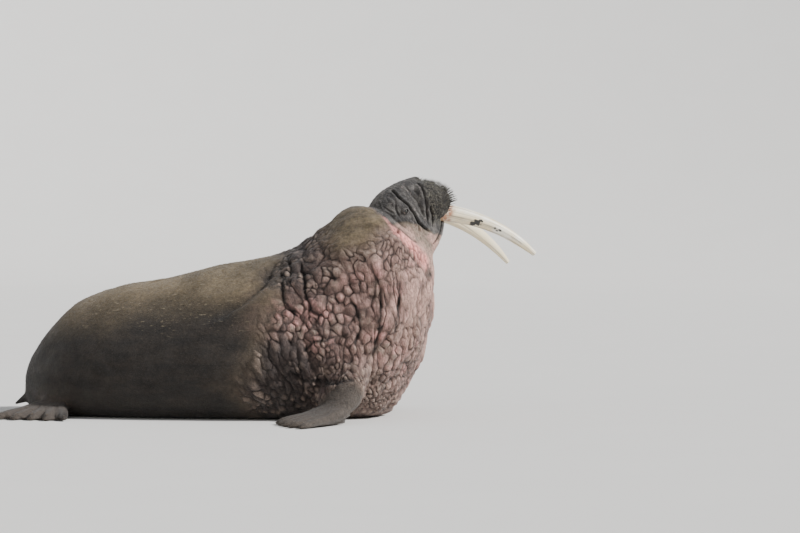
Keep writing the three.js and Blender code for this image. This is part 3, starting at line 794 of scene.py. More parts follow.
def crack_distance(tree, place, size_mm):
    """How far a place is from the nearest border of uneven cells of the given size."""
    inputs = {"Vector": place, "Scale": 1 / (size_mm * MM)}
    return node(tree, "TexVoronoi", inputs, feature="DISTANCE_TO_EDGE").outputs["Distance"]


def wrinkles(tree, size_mm, stretch):
    """Fine lines that wander between uneven cells: 1 on a line and 0 between lines."""
    place = node(tree, "TexCoord").outputs["Object"]
    stir = node(tree, "TexNoise", {"Vector": place, "Scale": 1 / (50 * MM), "Detail": 3.0}).outputs["Color"]
    shift = {0: stir, 1: (40 * MM,) * 3, 2: place}
    place = node(tree, "VectorMath", shift, operation="MULTIPLY_ADD").outputs["Vector"]
    return eased(tree, crack_distance(tree, stretched(tree, place, stretch), size_mm), 0.0, 0.11, 1.0, 0.0)


def thin_lines(tree):
    """The finest wrinkles, on the bossed hide and the flippers."""
    lined = sums(tree, "MULTIPLY_ADD", attribute(tree, "flipper"), 0.8, attribute(tree, "bossed"), clamp=True)
    lined = sums(tree, "MULTIPLY_ADD", attribute(tree, "nape"), -0.6, lined, clamp=True)
    return sums(tree, "MULTIPLY", wrinkles(tree, 19, (1, 1, 2.8)), lined)


def hide_colour(tree, hues):
    """The walrus's markings, with painted shade and light among them, the same on the skin and on the short
    hair that grows from it.
    """
    broad = eased(tree, noise(tree, 160, 4), 0.35, 0.65)
    streak = eased(tree, noise(tree, 26, 4, 0.65, stretch=(4, 1, 1), offset=9.0), 0.35, 0.65)
    patch = noise(tree, 45, 5, 0.65, offset=3.0)
    pink = eased(tree, noise(tree, 20, 3), 0.3, 0.6, 0.5, 1.0)
    grain = eased(tree, noise(tree, 7, 3, 0.6, offset=13.0), 0.4, 0.58)
    speckles = eased(tree, noise(tree, 17, 3, 0.55, offset=11.0), 0.58, 0.7, 0.0, 0.7)
    flecks = eased(tree, noise(tree, 8, 3, 0.6, stretch=(1, 1, 2), offset=17.0), 0.6, 0.72, 0.0, 0.75)
    scratches = noise(tree, 4.5, 3, 0.6, stretch=(4.5, 1.5, 1), offset=23.0)
    scratches = eased(tree, scratches, 0.6, 0.74, 0.0, 0.5)
    # Bossed hide in painted shade towards the rear, its own brown towards the lit front.
    bossed = mixed(tree, "ruddy_and_lit", hues.boss_shade, hues.boss_side)
    nape = mixed(tree, streak, hues.back_dark, hues.back)
    rosy = kept_to(tree, "pinkish", eased(tree, patch, 0.36, 0.56))
    layers = [
        # Painted shade: the lower body is darker, in streaks.
        ("belly", mixed(tree, streak, hues.shaded_flank_dark, hues.flank)),
        ("bossed", mixed(tree, "nape", bossed, nape)),
        # Boss crowns: partly their own pink, partly a painted highlight.
        (kept_to(tree, "pink_lit_top", pink), mixed(tree, rosy, hues.lit_boss_pale, hues.lit_boss_top)),
        # Pale throat front and lips; on the throat partly painted sunlight.
        ("pale", hues.throat),
        ("cheek", mixed(tree, eased(tree, patch, 0.4, 0.6), hues.cheek, hues.cheek_pink)),
        ("dark_face", mixed(tree, eased(tree, patch, 0.42, 0.62), hues.face, hues.face_light)),
        ("raw", hues.raw),
        ("pad", mixed(tree, grain, hues.pad_dark, hues.pad)),
        ("flipper", hues.flipper),
        (kept_to(tree, "spotted", speckles), hues.spot),
        (kept_to(tree, "flecked", flecks), hues.fleck),
        (kept_to(tree, "scratched", scratches), hues.scratch),
    ]
    # Painted shade: near-black in the creases, clefts and openings, and a little over the fine wrinkle lines.
    dark = sums(tree, "MAXIMUM", attribute(tree, "crease_shade"), sums(tree, "MULTIPLY", thin_lines(tree), 0.3))
    layers.append((dark, hues.crease_shade))
    return layered(tree, mixed(tree, broad, hues.back_dark, hues.back), layers)


def hide_material(hues):
    """Walrus hide: thick, creased and nearly bare, so it looks dry and dull, with a little grease on its
    raised spots. Fine cracks 9 mm apart and a nap of short flat hair break up its light."""
    material, tree = new_material("walrus_hide")
    fine = noise(tree, 9, 4, 0.7, offset=7.0)
    value = eased(tree, fine, 0.3, 0.7, 0.72, 1.28)
    crack = eased(tree, crack_distance(tree, node(tree, "TexCoord").outputs["Object"], 9), 0.0, 0.12)
    nap = noise(tree, 2.2, 2, 0.6, stretch=(3, 1, 1))
    height = sums(tree, "MULTIPLY_ADD", crack, 0.5, sums(tree, "MULTIPLY", fine, 1.8))
    height = sums(tree, "MULTIPLY_ADD", nap, 0.5, height)
    height = sums(tree, "MULTIPLY_ADD", thin_lines(tree), -1.1, height)
    inputs = {
        "Base Color": shaded(tree, hide_colour(tree, hues), value),
        "Roughness": eased(tree, noise(tree, 45, 4, offset=3.0), 0.3, 0.7, 0.85, 0.62),
        "Normal": bumped(tree, height, 0.7, 3.0),
        "IOR": 1.45,
        "Specular IOR Level": 0.35,
        "Sheen Weight": 0.1,
        "Sheen Roughness": 0.5,
    }
    return finished(material, inputs)


def shaded(tree, colour, value):
    """A colour made lighter or darker."""
    return node(tree, "HueSaturation", {"Color": colour, "Value": value}).outputs["Color"]


def bumped(tree, height, strength, millimetres):
    inputs = {"Height": height, "Strength": strength, "Distance": millimetres * MM}
    return node(tree, "Bump", inputs).outputs["Normal"]


def hair_material(hues):
    """Short hair of a walrus: dry, dull and the colour of the hide under it, painted shade and light
    included, a little lighter.
    """
    material, tree = new_material("short_hair")
    colour = shaded(tree, hide_colour(tree, hues), 1.05)
    return finished(material, {"Base Color": colour, "Roughness": 0.7, "IOR": 1.55})


def ivory_material(hues):
    """Old ivory: dense and polished by use, creamy with long grey-brown grooves and stains."""
    material, tree = new_material("worn_ivory")
    creamy = eased(tree, noise(tree, 60, 3, 0.5), 0.35, 0.65)
    grain = noise(tree, 3, 3, 0.6, offset=5.0)
    layers = [
        ("warm", hues.ivory_warm),
        ("groove", hues.ivory_groove),
        ("root", hues.ivory_root),
        ("stain", hues.ivory_stain),
    ]
    inputs = {
        "Base Color": layered(tree, mixed(tree, creamy, hues.ivory_warm, hues.ivory), layers),
        "Roughness": eased(tree, grain, 0.3, 0.7, 0.32, 0.5),
        "Normal": bumped(tree, grain, 0.25, 0.6),
        "IOR": 1.54,
        "Subsurface Weight": 0.06,
        "Subsurface Radius": (0.006, 0.004, 0.003),
    }
    return finished(material, inputs)


def horn_material(name, dark, light, roughness):
    """Horn and bristle: hard keratin with a soft gloss, mottled along its length."""
    material, tree = new_material(name)
    colour = mixed(tree, eased(tree, noise(tree, 6, 3), 0.35, 0.65), dark, light)
    return finished(material, {"Base Color": colour, "Roughness": roughness, "IOR": 1.55})


def eye_material(hues):
    """A wet eye: near-black brown iris under a clear, glossy cornea, with a pinkish grey rim."""
    material, tree = new_material("wet_eye")
    out = attribute(tree, "rim")
    veins = eased(tree, noise(tree, 2, 4, 0.7, offset=2.0), 0.4, 0.6)
    rim = mixed(tree, veins, hues.eye_rim, hues.cheek)
    iris = mixed(tree, eased(tree, out, 0.3, 0.5), hues.pupil, hues.eye)
    inputs = {
        "Base Color": mixed(tree, eased(tree, out, 0.62, 0.8), iris, rim),
        "Roughness": 0.12,
        "IOR": 1.38,
        "Coat Weight": 0.8,
        "Coat Roughness": 0.03,
    }
    return finished(material, inputs)


def floor_material(hues):
    """Pale matt studio paper."""
    material, tree = new_material("studio_paper")
    darker = [channel * 0.96 for channel in linear(hues.floor)[:3]] + [1.0]
    colour = mixed(tree, noise(tree, 300, 2), hues.floor, darker)
    return finished(material, {"Base Color": colour, "Roughness": 0.9})


def finish_with(piece, material):
    piece.data.materials.clear()
    piece.data.materials.append(material)


def keep_piece(piece, name, material, slot, *nodes):
    """Names a finished piece and hands it to the frame in place of the solids it stands for."""
    piece.name = name
    piece.data.name = name
    finish_with(piece, material)
    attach(piece, "root")
    if nodes:
        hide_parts(*nodes)


# Settings.


def hue(name, description, code):
    return bpy.props.StringProperty(name=name, description=description, default=code)


def measure(name, description, millimetres):
    default = millimetres * MM
    return bpy.props.FloatProperty(name=name, description=description, default=default, unit="LENGTH")


def number(name, description, default):
    return bpy.props.IntProperty(name=name, description=description, default=default)


class WalrusHues(bpy.types.PropertyGroup):
    """Colours of the walrus, as sRGB hex values."""

    back: hue("Back", "Sunlit olive hide of the back", "#75664e")
    back_dark: hue("Back, dark", "Darker patches", "#50442f")
    # The flank colours are painted shade, laid on the lower body.
    flank: hue("Flank", "Brown of the flank", "#2a241f")
    shaded_flank_dark: hue("Flank, dark", "Its streaks", "#1d1916")
    boss_side: hue("Boss sides", "Brown of bossed hide", "#6a524a")
    # Painted shade of the bossed hide towards the rear.
    boss_shade: hue("Boss, grey", "Grey of bossed hide", "#352d2b")
    # Boss crowns, partly their own pink and partly a painted highlight.
    lit_boss_top: hue("Boss tops", "Pink of the raised tops", "#d69c94")
    lit_boss_pale: hue("Boss tops, pale", "Duller tops", "#a08c7e")
    # Partly the throat's own pinkish white, partly painted sunlight on its front edge.
    throat: hue("Throat", "Pinkish white of the throat", "#cca495")
    cheek: hue("Cheek", "Olive hide behind the face", "#7d6f62")
    cheek_pink: hue("Cheek, pink", "Its pink patches", "#b08d80")
    raw: hue("Raw hide", "Rubbed hide below the ear", "#ffa99e")
    # Painted shade in the creases, clefts and openings.
    crease_shade: hue("Furrows", "Depth of the creases", "#140e0c")
    spot: hue("Spots", "Dark spots of the throat", "#5e5049")
    face: hue("Face", "Grey-black of the head", "#383635")
    face_light: hue("Face, light", "Olive of the head", "#5d5955")
    fleck: hue("Flecks", "Pinkish grey flecks", "#857874")
    scratch: hue("Scratches", "Pale scratches of the back", "#a2957c")
    pad: hue("Pads", "Olive of the whisker pads", "#5a564c")
    pad_dark: hue("Pads, dark", "Black between bristles", "#292826")
    flipper: hue("Flippers", "Dark flipper hide", "#453d36")
    ivory: hue("Ivory", "Creamy ivory", "#f1eee4")
    ivory_warm: hue("Ivory, warm", "Yellower ivory", "#ecdcb8")
    ivory_groove: hue("Ivory grooves", "Long grooves", "#7d7263")
    ivory_root: hue("Ivory roots", "Stain at the gum", "#a8775a")
    ivory_stain: hue("Ivory stains", "Blotches", "#26241f")
    whisker: hue("Whiskers", "Light parts of the bristles", "#453f34")
    whisker_dark: hue("Whiskers, dark", "Dark parts of the bristles", "#12100f")
    claw: hue("Claws", "Brown horn of the claws", "#57493a")
    claw_dark: hue("Claws, dark", "Their dark streaks", "#2a231d")
    pupil: hue("Pupil", "Middle of the eye", "#060504")
    eye: hue("Eye", "Iris", "#1c120c")
    eye_rim: hue("Eye rim", "Edge of the eyeball", "#7f756e")
    floor: hue("Floor", "Studio floor", "#dcdad6")
    air: hue("Air", "Light of the studio from all round", "#e3e7ee")


class WalrusSizes(bpy.types.PropertyGroup):
    """Sizes of the render's own detail."""

    voxel: measure("Hide grain", "Grid on which the flesh is fused", 5.5)
    triangles: number("Hide triangles", "Most triangles of the hide", 196000)
    whiskers: number("Whiskers a side", "Bristles on each pad", 300)
    whisker_length: measure("Whisker length", "Longest bristle", 40)
    whisker_thickness: measure("Whisker thickness", "Bristle's width at its root", 3.3)
    hairs: number("Hair tufts", "Tufts of short hair on the hide", 19000)
    hair_length: measure("Hair length", "Length of the short hair", 11)
    camera_height: measure("Camera height", "Height of the lens over the floor", 1245.5)


# Pieces.


class WALRUS_OT_hide(bpy.types.Operator):
    """Fuse the flesh and give it bosses, folds and markings"""

    bl_idname = "walrus.hide"
    bl_label = "Hide"

    # The gum in each tusk's socket: half its width in millimetres, and how squared it is.
    gum_half = 22
    gum_square = 3.0
    # How far the lids' fine grain reaches from the middle of the eye, in millimetres.
    lid_reach = 44

    def execute(self, context):
        sizes = context.scene.walrus_sizes
        lumps = [add_lump(PAD_AT * (1, side, 1), PAD_RADII, PAD_SQUARE) for side in PADS.values()]
        for side in SIDES:
            lumps.append(add_lump(eye_centre(side), (EYE_RADIUS + 1,) * 3))
            lumps.append(add_lump(PAD_BACK_AT * (1, side, 1), PAD_BACK_RADII, PAD_SQUARE))
        lumps += [self.tusk_plug(tusk) for tusk in TUSKS.values()]
        skin = joined([copy_of(name) for name in FLESH + FLIPPERS] + lumps)
        skin.data.materials.clear()
        apply_modifier(skin, "REMESH", mode="VOXEL", voxel_size=sizes.voxel)
        self.soften(skin)
        self.subdivide(skin, self.needs_grain)
        self.subdivide(skin, self.needs_fine_grain)
        self.carve(skin)
        self.thin(skin, sizes.triangles)
        shade_smooth(skin)
        skin.vertex_groups.clear()
        material = hide_material(context.scene.walrus_hues)
        keep_piece(skin, "hide", material, "hide", *FLESH, *FLIPPERS, *PADS)
        return {"FINISHED"}

    def tusk_plug(self, tusk):
        """Gum that fills a tusk's socket, so that the skin closes round the ivory."""
        line = tusk_line(tusk)
        way = line[2] - line[0]
        centre = line[0] + way * 0.45
        radii = (self.gum_half, self.gum_half, np.linalg.norm(way) * 0.62)
        plug = add_lump(centre, radii, self.gum_square)
        turn = Vector((0, 0, -1)).rotation_difference(Vector(way)).to_matrix()
        place_points(plug, from_head((to_head(points_of(plug)) - centre) @ np.array(turn).T + centre))
        return plug

    def soften(self, skin):
        """Rounds off the solids' facets, most on the trunk and least on the digits and the face."""
        hide = Hide(points_of(skin))
        flesh = (1 - 0.72 * hide.face) * (1 - 0.93 * hide.flipper) * (1 - 0.3 * hide.bossed)
        set_weights(skin, "flesh", flesh)
        set_weights(skin, "trunk", hide.trunk * (1 - 0.9 * step(-hide.drawn[:, 2], -90, -30)))
        apply_modifier(skin, "SMOOTH", factor=0.5, iterations=7)
        apply_modifier(skin, "SMOOTH", factor=0.5, iterations=60, vertex_group="flesh")
        apply_modifier(skin, "SMOOTH", factor=0.8, iterations=120, vertex_group="trunk")

    def needs_grain(self, hide):
        """The head and the bossed hide, which get twice the grain of the trunk."""
        cobbled = (hide.bossed > 0.12) & (hide.hump < 0.8) & (hide.drawn[:, 2] > 60)
        return (hide.face > 0.02) | cobbled

    def needs_fine_grain(self, hide):
        """The lids, which get twice the grain of the head."""
        return from_eyes(hide.head) < self.lid_reach

    def subdivide(self, skin, chosen):
        near = chosen(Hide(points_of(skin)))
        starts = np.empty(len(skin.data.polygons), np.int32)
        skin.data.polygons.foreach_get("loop_start", starts)
        inside = np.logical_and.reduceat(near[corners_of(skin)], starts)
        pick(skin)
        bpy.ops.object.mode_set(mode="EDIT")
        bpy.ops.mesh.select_mode(type="FACE")
        bpy.ops.mesh.select_all(action="DESELECT")
        bpy.ops.object.mode_set(mode="OBJECT")
        skin.data.polygons.foreach_set("select", inside)
        bpy.ops.object.mode_set(mode="EDIT")
        bpy.ops.mesh.subdivide(number_cuts=1)
        bpy.ops.object.mode_set(mode="OBJECT")

    def carve(self, skin):
        """Moves every vertex by the relief of the hide and keeps what its colours depend on."""
        points = points_of(skin)
        hide = Hide(points)
        boss, pink_lit_top, crease_shade = boss_relief(hide)
        crease, dark = crease_relief(hide)
        fold, face_shade, pores, lips, on_pad = face_relief(hide)
        soft, wrinkle_shade = trunk_relief(hide)
        x, _, z = hide.drawn.T
        height = (boss + crease + fold + soft) * step(z, 4, 45)
        raised = to_head(points + normals_of(skin) * height[:, None] * MM)
        lid_shade = lids(raised)
        raised = from_head(raised)
        raised[:, 2] = np.maximum(raised[:, 2], 0)
        place_points(skin, raised)

        along, side, up = hide.head.T
        rough = waves(hide.drawn, 36, 83) * 10
        # The front of the throat: partly its own pinkish white, partly painted sunlight on the edge that
        # faces the key.
        edge = step(x, 2130, 2300) * step(z, 180, 420) * (1 - hide.face)
        band, share = line_distance(hide.head[:, [0, 2]] + rough[:, None], RAW_BAND)
        wide = 6 + 36 * share
        raw = (1 - step(band, wide * 0.5, wide * 1.3)) * step(np.abs(side), 40, 90) * step(along, -230, -190)
        dark_face = step(past(DARK_EDGE, up, along) + rough, -10, 14) * hide.face
        broken = step(waves(hide.drawn, 70, 81), -0.35, 0.25)
        # Painted shade over the lower body, darker towards the ground.
        low = 1 - step(z + 60 * waves(hide.drawn, 220, 85) - 0.12 * (x - 900), 440, 740)
        marks = {
            "bossed": hide.bossed,
            "pink_lit_top": pink_lit_top,
            # Share of the bossed hide out of its painted shade, and ruddier, towards the front.
            "ruddy_and_lit": hide.ruddy_and_lit,
            "nape": hide.hump,
            # Painted shade in the clefts between bosses, the creases, the face's folds and openings, the
            # lids, the nape's wrinkles and the flank's hollows, with the pads' dark pores.
            "crease_shade": crease_shade * 0.9 + dark + face_shade + pores + wrinkle_shade + lid_shade,
            "dark_face": dark_face,
            "cheek": hide.face * (1 - dark_face),
            "flipper": hide.flipper,
            "belly": low * (1 - hide.bossed),
            "pale": edge * 0.62 * broken + 0.6 * lips,
            "raw": raw * (0.6 + 0.4 * broken),
            "pinkish": hide.pink,
            "scratched": hide.trunk * step(z, 380, 560),
            "pad": on_pad,
            "spotted": step(x, 2150, 2260) * step(z, 560, 700) * (1 - hide.face),
            "flecked": dark_face * (1 - on_pad),
        }
        for name, values in marks.items():
            store(skin, name, values)

    def thin(self, skin, most):
        """Thins the mesh to the most triangles a piece may have, first where the hide is plain."""
        hide = Hide(points_of(skin))
        plain = np.maximum(hide.trunk, 1 - step(hide.drawn[:, 2], 20, 120))
        set_weights(skin, "loose", plain + (1 - plain) * 0.3 * (1 - hide.face))
        triangles = sum(len(polygon.vertices) - 2 for polygon in skin.data.polygons)
        settings = {"ratio": most / triangles, "vertex_group": "loose", "vertex_group_factor": 0.0001}
        apply_modifier(skin, "DECIMATE", **settings)


class WALRUS_OT_eyes(bpy.types.Operator):
    """Make the eyeballs, with their bulging corneas"""

    bl_idname = "walrus.eyes"
    bl_label = "Eyes"

    # The way an eye looks from the level head: forward, out to its side and up.
    gaze = (0.32, 1, -0.05)
    # How far the cornea bulges in millimetres, and how far it and the rim are from the gaze in radians.
    bulge = 1.3
    bulge_reach = 0.5
    rim_at = 1.1

    def execute(self, context):
        material = eye_material(context.scene.walrus_hues)
        for name, side in (("eye_left", 1), ("eye_right", -1)):
            centre = eye_centre(side)
            ball = add_lump(centre, (EYE_RADIUS,) * 3, segments=56)
            points = to_head(points_of(ball)) - centre
            gaze = np.array(self.gaze) * (1, side, 1)
            gaze /= np.linalg.norm(gaze)
            away = np.arccos(np.clip(points @ gaze / EYE_RADIUS, -1, 1))
            bulge = self.bulge * np.exp(-((away / self.bulge_reach) ** 4))
            points *= (1 + bulge / EYE_RADIUS)[:, None]
            place_points(ball, from_head(points + centre))
            store(ball, "rim", away / self.rim_at)
            shade_smooth(ball)
            keep_piece(ball, name + "_wet", material, "eye", name)
        return {"FINISHED"}


class WALRUS_OT_tusks(bpy.types.Operator):
    """Turn the tusks' solids into grooved and stained ivory"""

    bl_idname = "walrus.tusks"
    bl_label = "Tusks"

    # Grid on which the ivory is remeshed.
    voxel = 2.6 * MM
    # Long grooves: radians round from the tusk's outer side towards the back, depth in millimetres, and half
    # width in radians.
    grooves = [
        (0.38, 1.5, 0.13),
        (0.62, 0.9, 0.07),
        (-0.35, 0.6, 0.06),
        (1.25, 0.9, 0.1),
        (-1.2, 0.6, 0.08),
        (2.6, 0.8, 0.1),
    ]
    # Where the dark blotches lie on each tusk: millimetres from the gum, radians round as above, and their
    # half sizes.
    stains = {
        "tusk_left": [(420, 0.4, 7, 0.25)],
        "tusk_right": [
            (158, 0.95, 20, 0.42),
            (176, 0.5, 19, 0.5),
            (192, 0.0, 12, 0.3),
            (283, 0.4, 6, 0.2),
            (300, 0.62, 9, 0.16),
            (314, 0.3, 8, 0.2),
        ],
    }
    # How yellow each tusk is, the far one more.
    warmth = {"tusk_left": 0.8, "tusk_right": 0.15}

    def execute(self, context):
        material = ivory_material(context.scene.walrus_hues)
        for name, tusk in TUSKS.items():
            ivory = copy_of(name)
            ivory.data.materials.clear()
            apply_modifier(ivory, "REMESH", mode="VOXEL", voxel_size=self.voxel)
            apply_modifier(ivory, "SMOOTH", factor=0.5, iterations=40)
            self.groove(ivory, name, tusk)
            shade_smooth(ivory)
            keep_piece(ivory, name + "_ivory", material, "ivory", name)
        return {"FINISHED"}

    def groove(self, ivory, name, tusk):
        points = points_of(ivory)
        level = to_head(points)
        line = tusk_line(tusk)
        share = line_distance(level, line)[1]
        run = share * (len(line) - 1)
        run = np.where(run < 1, (run - 1) * TUSK_ROOT, (run - 1) * tusk["length"] / (len(line) - 2))
        corners = np.linspace(0, 1, len(line))
        offset = level - np.stack([np.interp(share, corners, line[:, axis]) for axis in range(3)], 1)
        turn = np.arctan2(-offset[:, 0], offset[:, 1] * tusk["side"])
        wander = 0.12 * np.sin(run / 85) + 0.05 * waves(level, 40, 91)
        worn = 0.55 + 0.45 * step(waves(level, 70, 92), -0.4, 0.3)
        cut = np.zeros(len(points))
        mark = np.zeros(len(points))
        for around, deep, wide in self.grooves:
            line_cut = bell(wrapped(turn - around - wander), wide) * worn
            cut += deep * line_cut
            mark = np.maximum(mark, line_cut * min(1, deep))
        cut *= step(run, -10, 30) * (1 - step(run, tusk["length"] - 25, tusk["length"]))
        place_points(ivory, points - normals_of(ivory) * cut[:, None] * MM)
        stain = np.zeros(len(points))
        ragged = 1 + 0.5 * waves(level, 11, 93) + 0.25 * waves(level, 4, 94)
        for place, around, long, wide in self.stains[name]:
            spot = np.hypot((run - place) / long, wrapped(turn - around) / wide) * ragged
            stain = np.maximum(stain, 1 - step(spot, 0.85, 1.1))
        blotched = 0.5 + 0.5 * step(waves(level, 9, 96), -0.3, 0.3)
        store(ivory, "groove", mark * 0.9)
        store(ivory, "stain", stain)
        store(ivory, "root", (1 - step(run + 14 * waves(level, 16, 95), 12, 55)) * blotched)
        store(ivory, "warm", np.full(len(points), self.warmth[name]))


def wrapped(angle):
    """The same angle, from -pi to pi."""
    return (angle + pi) % (2 * pi) - pi


class WALRUS_OT_whiskers(bpy.types.Operator):
    """Plant the bristles of the two whisker pads"""

    bl_idname = "walrus.whiskers"
    bl_label = "Whiskers"

    rings = 5
    sides = 4
    # How deep the roots are sunk, how far outside the pad the search for them starts, and how low on the
    # level head the lip is, in millimetres.
    sunk = 3 * MM
    outside = 250 * MM
    lip = -226

    def execute(self, context):
        sizes = context.scene.walrus_sizes
        hues = context.scene.walrus_hues
        skin = bpy.data.objects["hide"]
        bristles = [bristle for side in SIDES for bristle in self.pad(skin, side, sizes)]
        piece = tubes_piece("whiskers", bristles, self.sides)
        material = horn_material("whisker_bristle", hues.whisker_dark, hues.whisker, 0.4)
        keep_piece(piece, "whiskers", material, "face_hide")
        return {"FINISHED"}

    def pad(self, skin, side, sizes):
        """Bristles in staggered rows that point past the nose, longest low down and in front."""
        place = head_matrix()
        turned = place.to_3x3()
        nose = turned @ Vector((1, 0, 0))
        centre = place @ Vector(PAD_AT * (1, side, 1) * MM)
        made = []
        for n in range(sizes.whiskers):
            share = (n + 0.5) / sizes.whiskers
            shift, tilt, size = draw(n, side, 3, 1), draw(n, side, 5, 2), draw(n, side, 7, 3)
            turn = n * GOLDEN % 1.0
            up = 0.72 - 1.64 * share + 0.02 * (shift - 0.5)
            around = radians(-14 + 122 * turn)
            flat = max(0.0, 1 - up * up) ** 0.5
            way = turned @ Vector((flat * cos(around), side * flat * sin(around), up))
            hit, root, normal, _ = skin.ray_cast(centre + way * self.outside, -way)
            level = np.array(place.inverted() @ root) / MM if hit else np.zeros(3)
            ahead = past(PAD_EDGE, level[2], level[0])
            if not hit or ahead < 6 + 26 * draw(n, side, 9, 4) or level[2] < self.lip:
                continue
            front = max(0.0, normal.dot(nose))
            forward = Vector((0.9, side * 0.12 + 0.4 * (tilt - 0.5), -0.2 - 0.3 * share + 0.4 * (size - 0.5)))
            heading = (normal * (0.35 + 0.65 * front) + turned @ forward * 0.75).normalized()
            near = min(1.0, 0.26 + ahead / 220 + 0.5 * front**2)
            length = sizes.whisker_length * near * (0.5 + 0.5 * share) * (0.6 + 0.7 * size)
            path = [root - normal * self.sunk]
            for _ in range(self.rings - 1):
                path.append(path[-1] + heading * (length / (self.rings - 1)))
                heading = (heading + turned @ Vector((0.02, 0, -0.1))).normalized()
            thick = sizes.whisker_thickness * (0.65 + 0.5 * share) * (1 + 0.35 * front)
            made.append((path, thick, (0.3 + 0.25 * side + 0.4 * turn, 0.04 + 0.92 * share)))
        return made


def tubes_piece(name, tubes, sides):
    """One mesh of thin tapered tubes, each a path, a thickness and its root's place on the bake map."""
    spots, faces, places = [], [], []
    for path, thick, spot in tubes:
        first = len(spots)
        across = (path[1] - path[0]).orthogonal().normalized()
        beside = (path[1] - path[0]).cross(across).normalized()
        for ring, point in enumerate(path[:-1]):
            radius = thick / 2 * (1 - 0.8 * (ring / (len(path) - 1)) ** 1.7)
            for turn in range(sides):
                angle = 2 * pi * turn / sides
                spots.append(point + across * cos(angle) * radius + beside * sin(angle) * radius)
        spots.append(path[-1])
        for ring in range(len(path) - 2):
            for turn in range(sides):
                after = (turn + 1) % sides
                base = first + ring * sides
                faces.append((base + turn, base + after, base + sides + after, base + sides + turn))
        base = first + (len(path) - 2) * sides
        for turn in range(sides):
            faces.append((base + turn, base + (turn + 1) % sides, len(spots) - 1))
        faces.append(tuple(first + turn for turn in reversed(range(sides))))
        places += [spot] * (len(spots) - first)
    piece = new_piece(name, spots, faces, np.array(places))
    shade_smooth(piece)
    return piece


class WALRUS_OT_hair(bpy.types.Operator):
    """Lay tufts of short hair over the hide, where they break its outline and its folds"""

    bl_idname = "walrus.hair"
    bl_label = "Short hair"

    # Marks carried from the hide, painted shade and light among them.
    carried = (
        ("bossed", "pink_lit_top", "pinkish", "ruddy_and_lit", "nape", "dark_face", "cheek", "flipper")
        + ("belly", "pale", "raw", "pad", "spotted", "flecked", "scratched")
    )
    # A tuft in millimetres: half its width and its thickness at the root, how deep the root is sunk, and how
    # high its middle and its tip stand over the hide. At its middle it keeps this share of its width.
    half_wide = 1.2
    thick = 0.8
    sunk = 1.0
    middle_rise = 1.1
    tip_rise = 1.7
    narrowed = 0.8
    # A tuft is three-sided: a ring of 3 points at its root, one half way along, and its tip.
    tuft_points = 7
    tuft_faces = [(0, 1, 4, 3), (1, 2, 5, 4), (2, 0, 3, 5), (3, 4, 6), (4, 5, 6), (5, 3, 6), (2, 1, 0)]

    def execute(self, context):
        sizes = context.scene.walrus_sizes
        skin = bpy.data.objects["hide"]
        count = sizes.hairs
        roots, normals, corner = self.scatter(skin, count)
        hide = Hide(roots)
        length = sizes.hair_length * (0.6 + 0.8 * draw(np.arange(count), 1, 2, 5))
        length *= 1 - 0.55 * np.maximum(hide.face, hide.flipper)
        sway = 0.25 * waves(hide.drawn, 90, 97)
        fall = -0.35 + 0.3 * waves(hide.drawn, 70, 98)
        back = np.stack([-np.ones(count), sway, fall], 1)
        lie = back - normals * (back * normals).sum(1, keepdims=True)
        lie /= np.linalg.norm(lie, axis=1, keepdims=True)
        across = np.cross(normals, lie) * (self.half_wide * MM)
        thick = normals * (self.thick * MM)
        root = roots - normals * (self.sunk * MM)
        middle = roots + lie * length[:, None] * 0.5 + normals * (self.middle_rise * MM)
        tip = roots + lie * length[:, None] + normals * (self.tip_rise * MM)
        ring = [root - across, root + across, root + thick]
        across, thick = across * self.narrowed, thick * self.narrowed
        ring += [middle - across, middle + across, middle + thick, tip]
        spots = np.stack(ring, 1).reshape(-1, 3).tolist()
        firsts = np.arange(count)[:, None] * self.tuft_points
        faces = [face for side in self.tuft_faces for face in (firsts + side).tolist()]
        x, y, z = hide.drawn.T
        around = np.arctan2(y, z - 420) / (2 * pi) + 0.5
        places = np.stack([0.02 + 0.96 * x / BODY_LENGTH, 0.02 + 0.96 * around], 1)
        piece = new_piece("short_hair", spots, faces, places.repeat(self.tuft_points, 0))
        for name in self.carried:
            values = np.empty(len(skin.data.vertices), np.float32)
            skin.data.attributes[name].data.foreach_get("value", values)
            store(piece, name, values[corner].repeat(self.tuft_points))
        # The hair gets no painted crease shade.
        store(piece, "crease_shade", np.zeros(count * self.tuft_points))
        keep_piece(piece, "short_hair", hair_material(context.scene.walrus_hues), "hide")
        return {"FINISHED"}

    def scatter(self, skin, count):
        """Spots spread evenly over the skin: their places, normals and a vertex of the skin by each."""
        mesh = skin.data
        mesh.calc_loop_triangles()
        corners = np.empty(len(mesh.loop_triangles) * 3, np.int32)
        mesh.loop_triangles.foreach_get("vertices", corners)
        corners = corners.reshape(-1, 3)
        points = points_of(skin)
        a, b, c = (points[corners[:, n]] for n in range(3))
        area = np.linalg.norm(np.cross(b - a, c - a), axis=1)
        hide = Hide((a + b + c) / 3)
        ground = step(hide.drawn[:, 2], 12, 40)
        eyes = step(from_eyes(hide.head), 30, 45)
        padded = step(past(PAD_EDGE, hide.head[:, 2], hide.head[:, 0]), -5, 20) * hide.face
        area *= ground * eyes * (1 - padded) * (1 - 0.99 * hide.bossed) * (1 - 0.7 * hide.flipper)
        ladder = np.cumsum(area) / area.sum()
        chosen = np.searchsorted(ladder, (np.arange(count) + 0.5) / count)
        u, v = draw(np.arange(count), 2, 3, 6), draw(np.arange(count), 4, 5, 7)
        u, v = np.where(u + v > 1, 1 - u, u)[:, None], np.where(u + v > 1, 1 - v, v)[:, None]
        roots = a[chosen] * (1 - u - v) + b[chosen] * u + c[chosen] * v
        return roots, normals_of(skin)[corners[chosen, 0]], corners[chosen, 0]


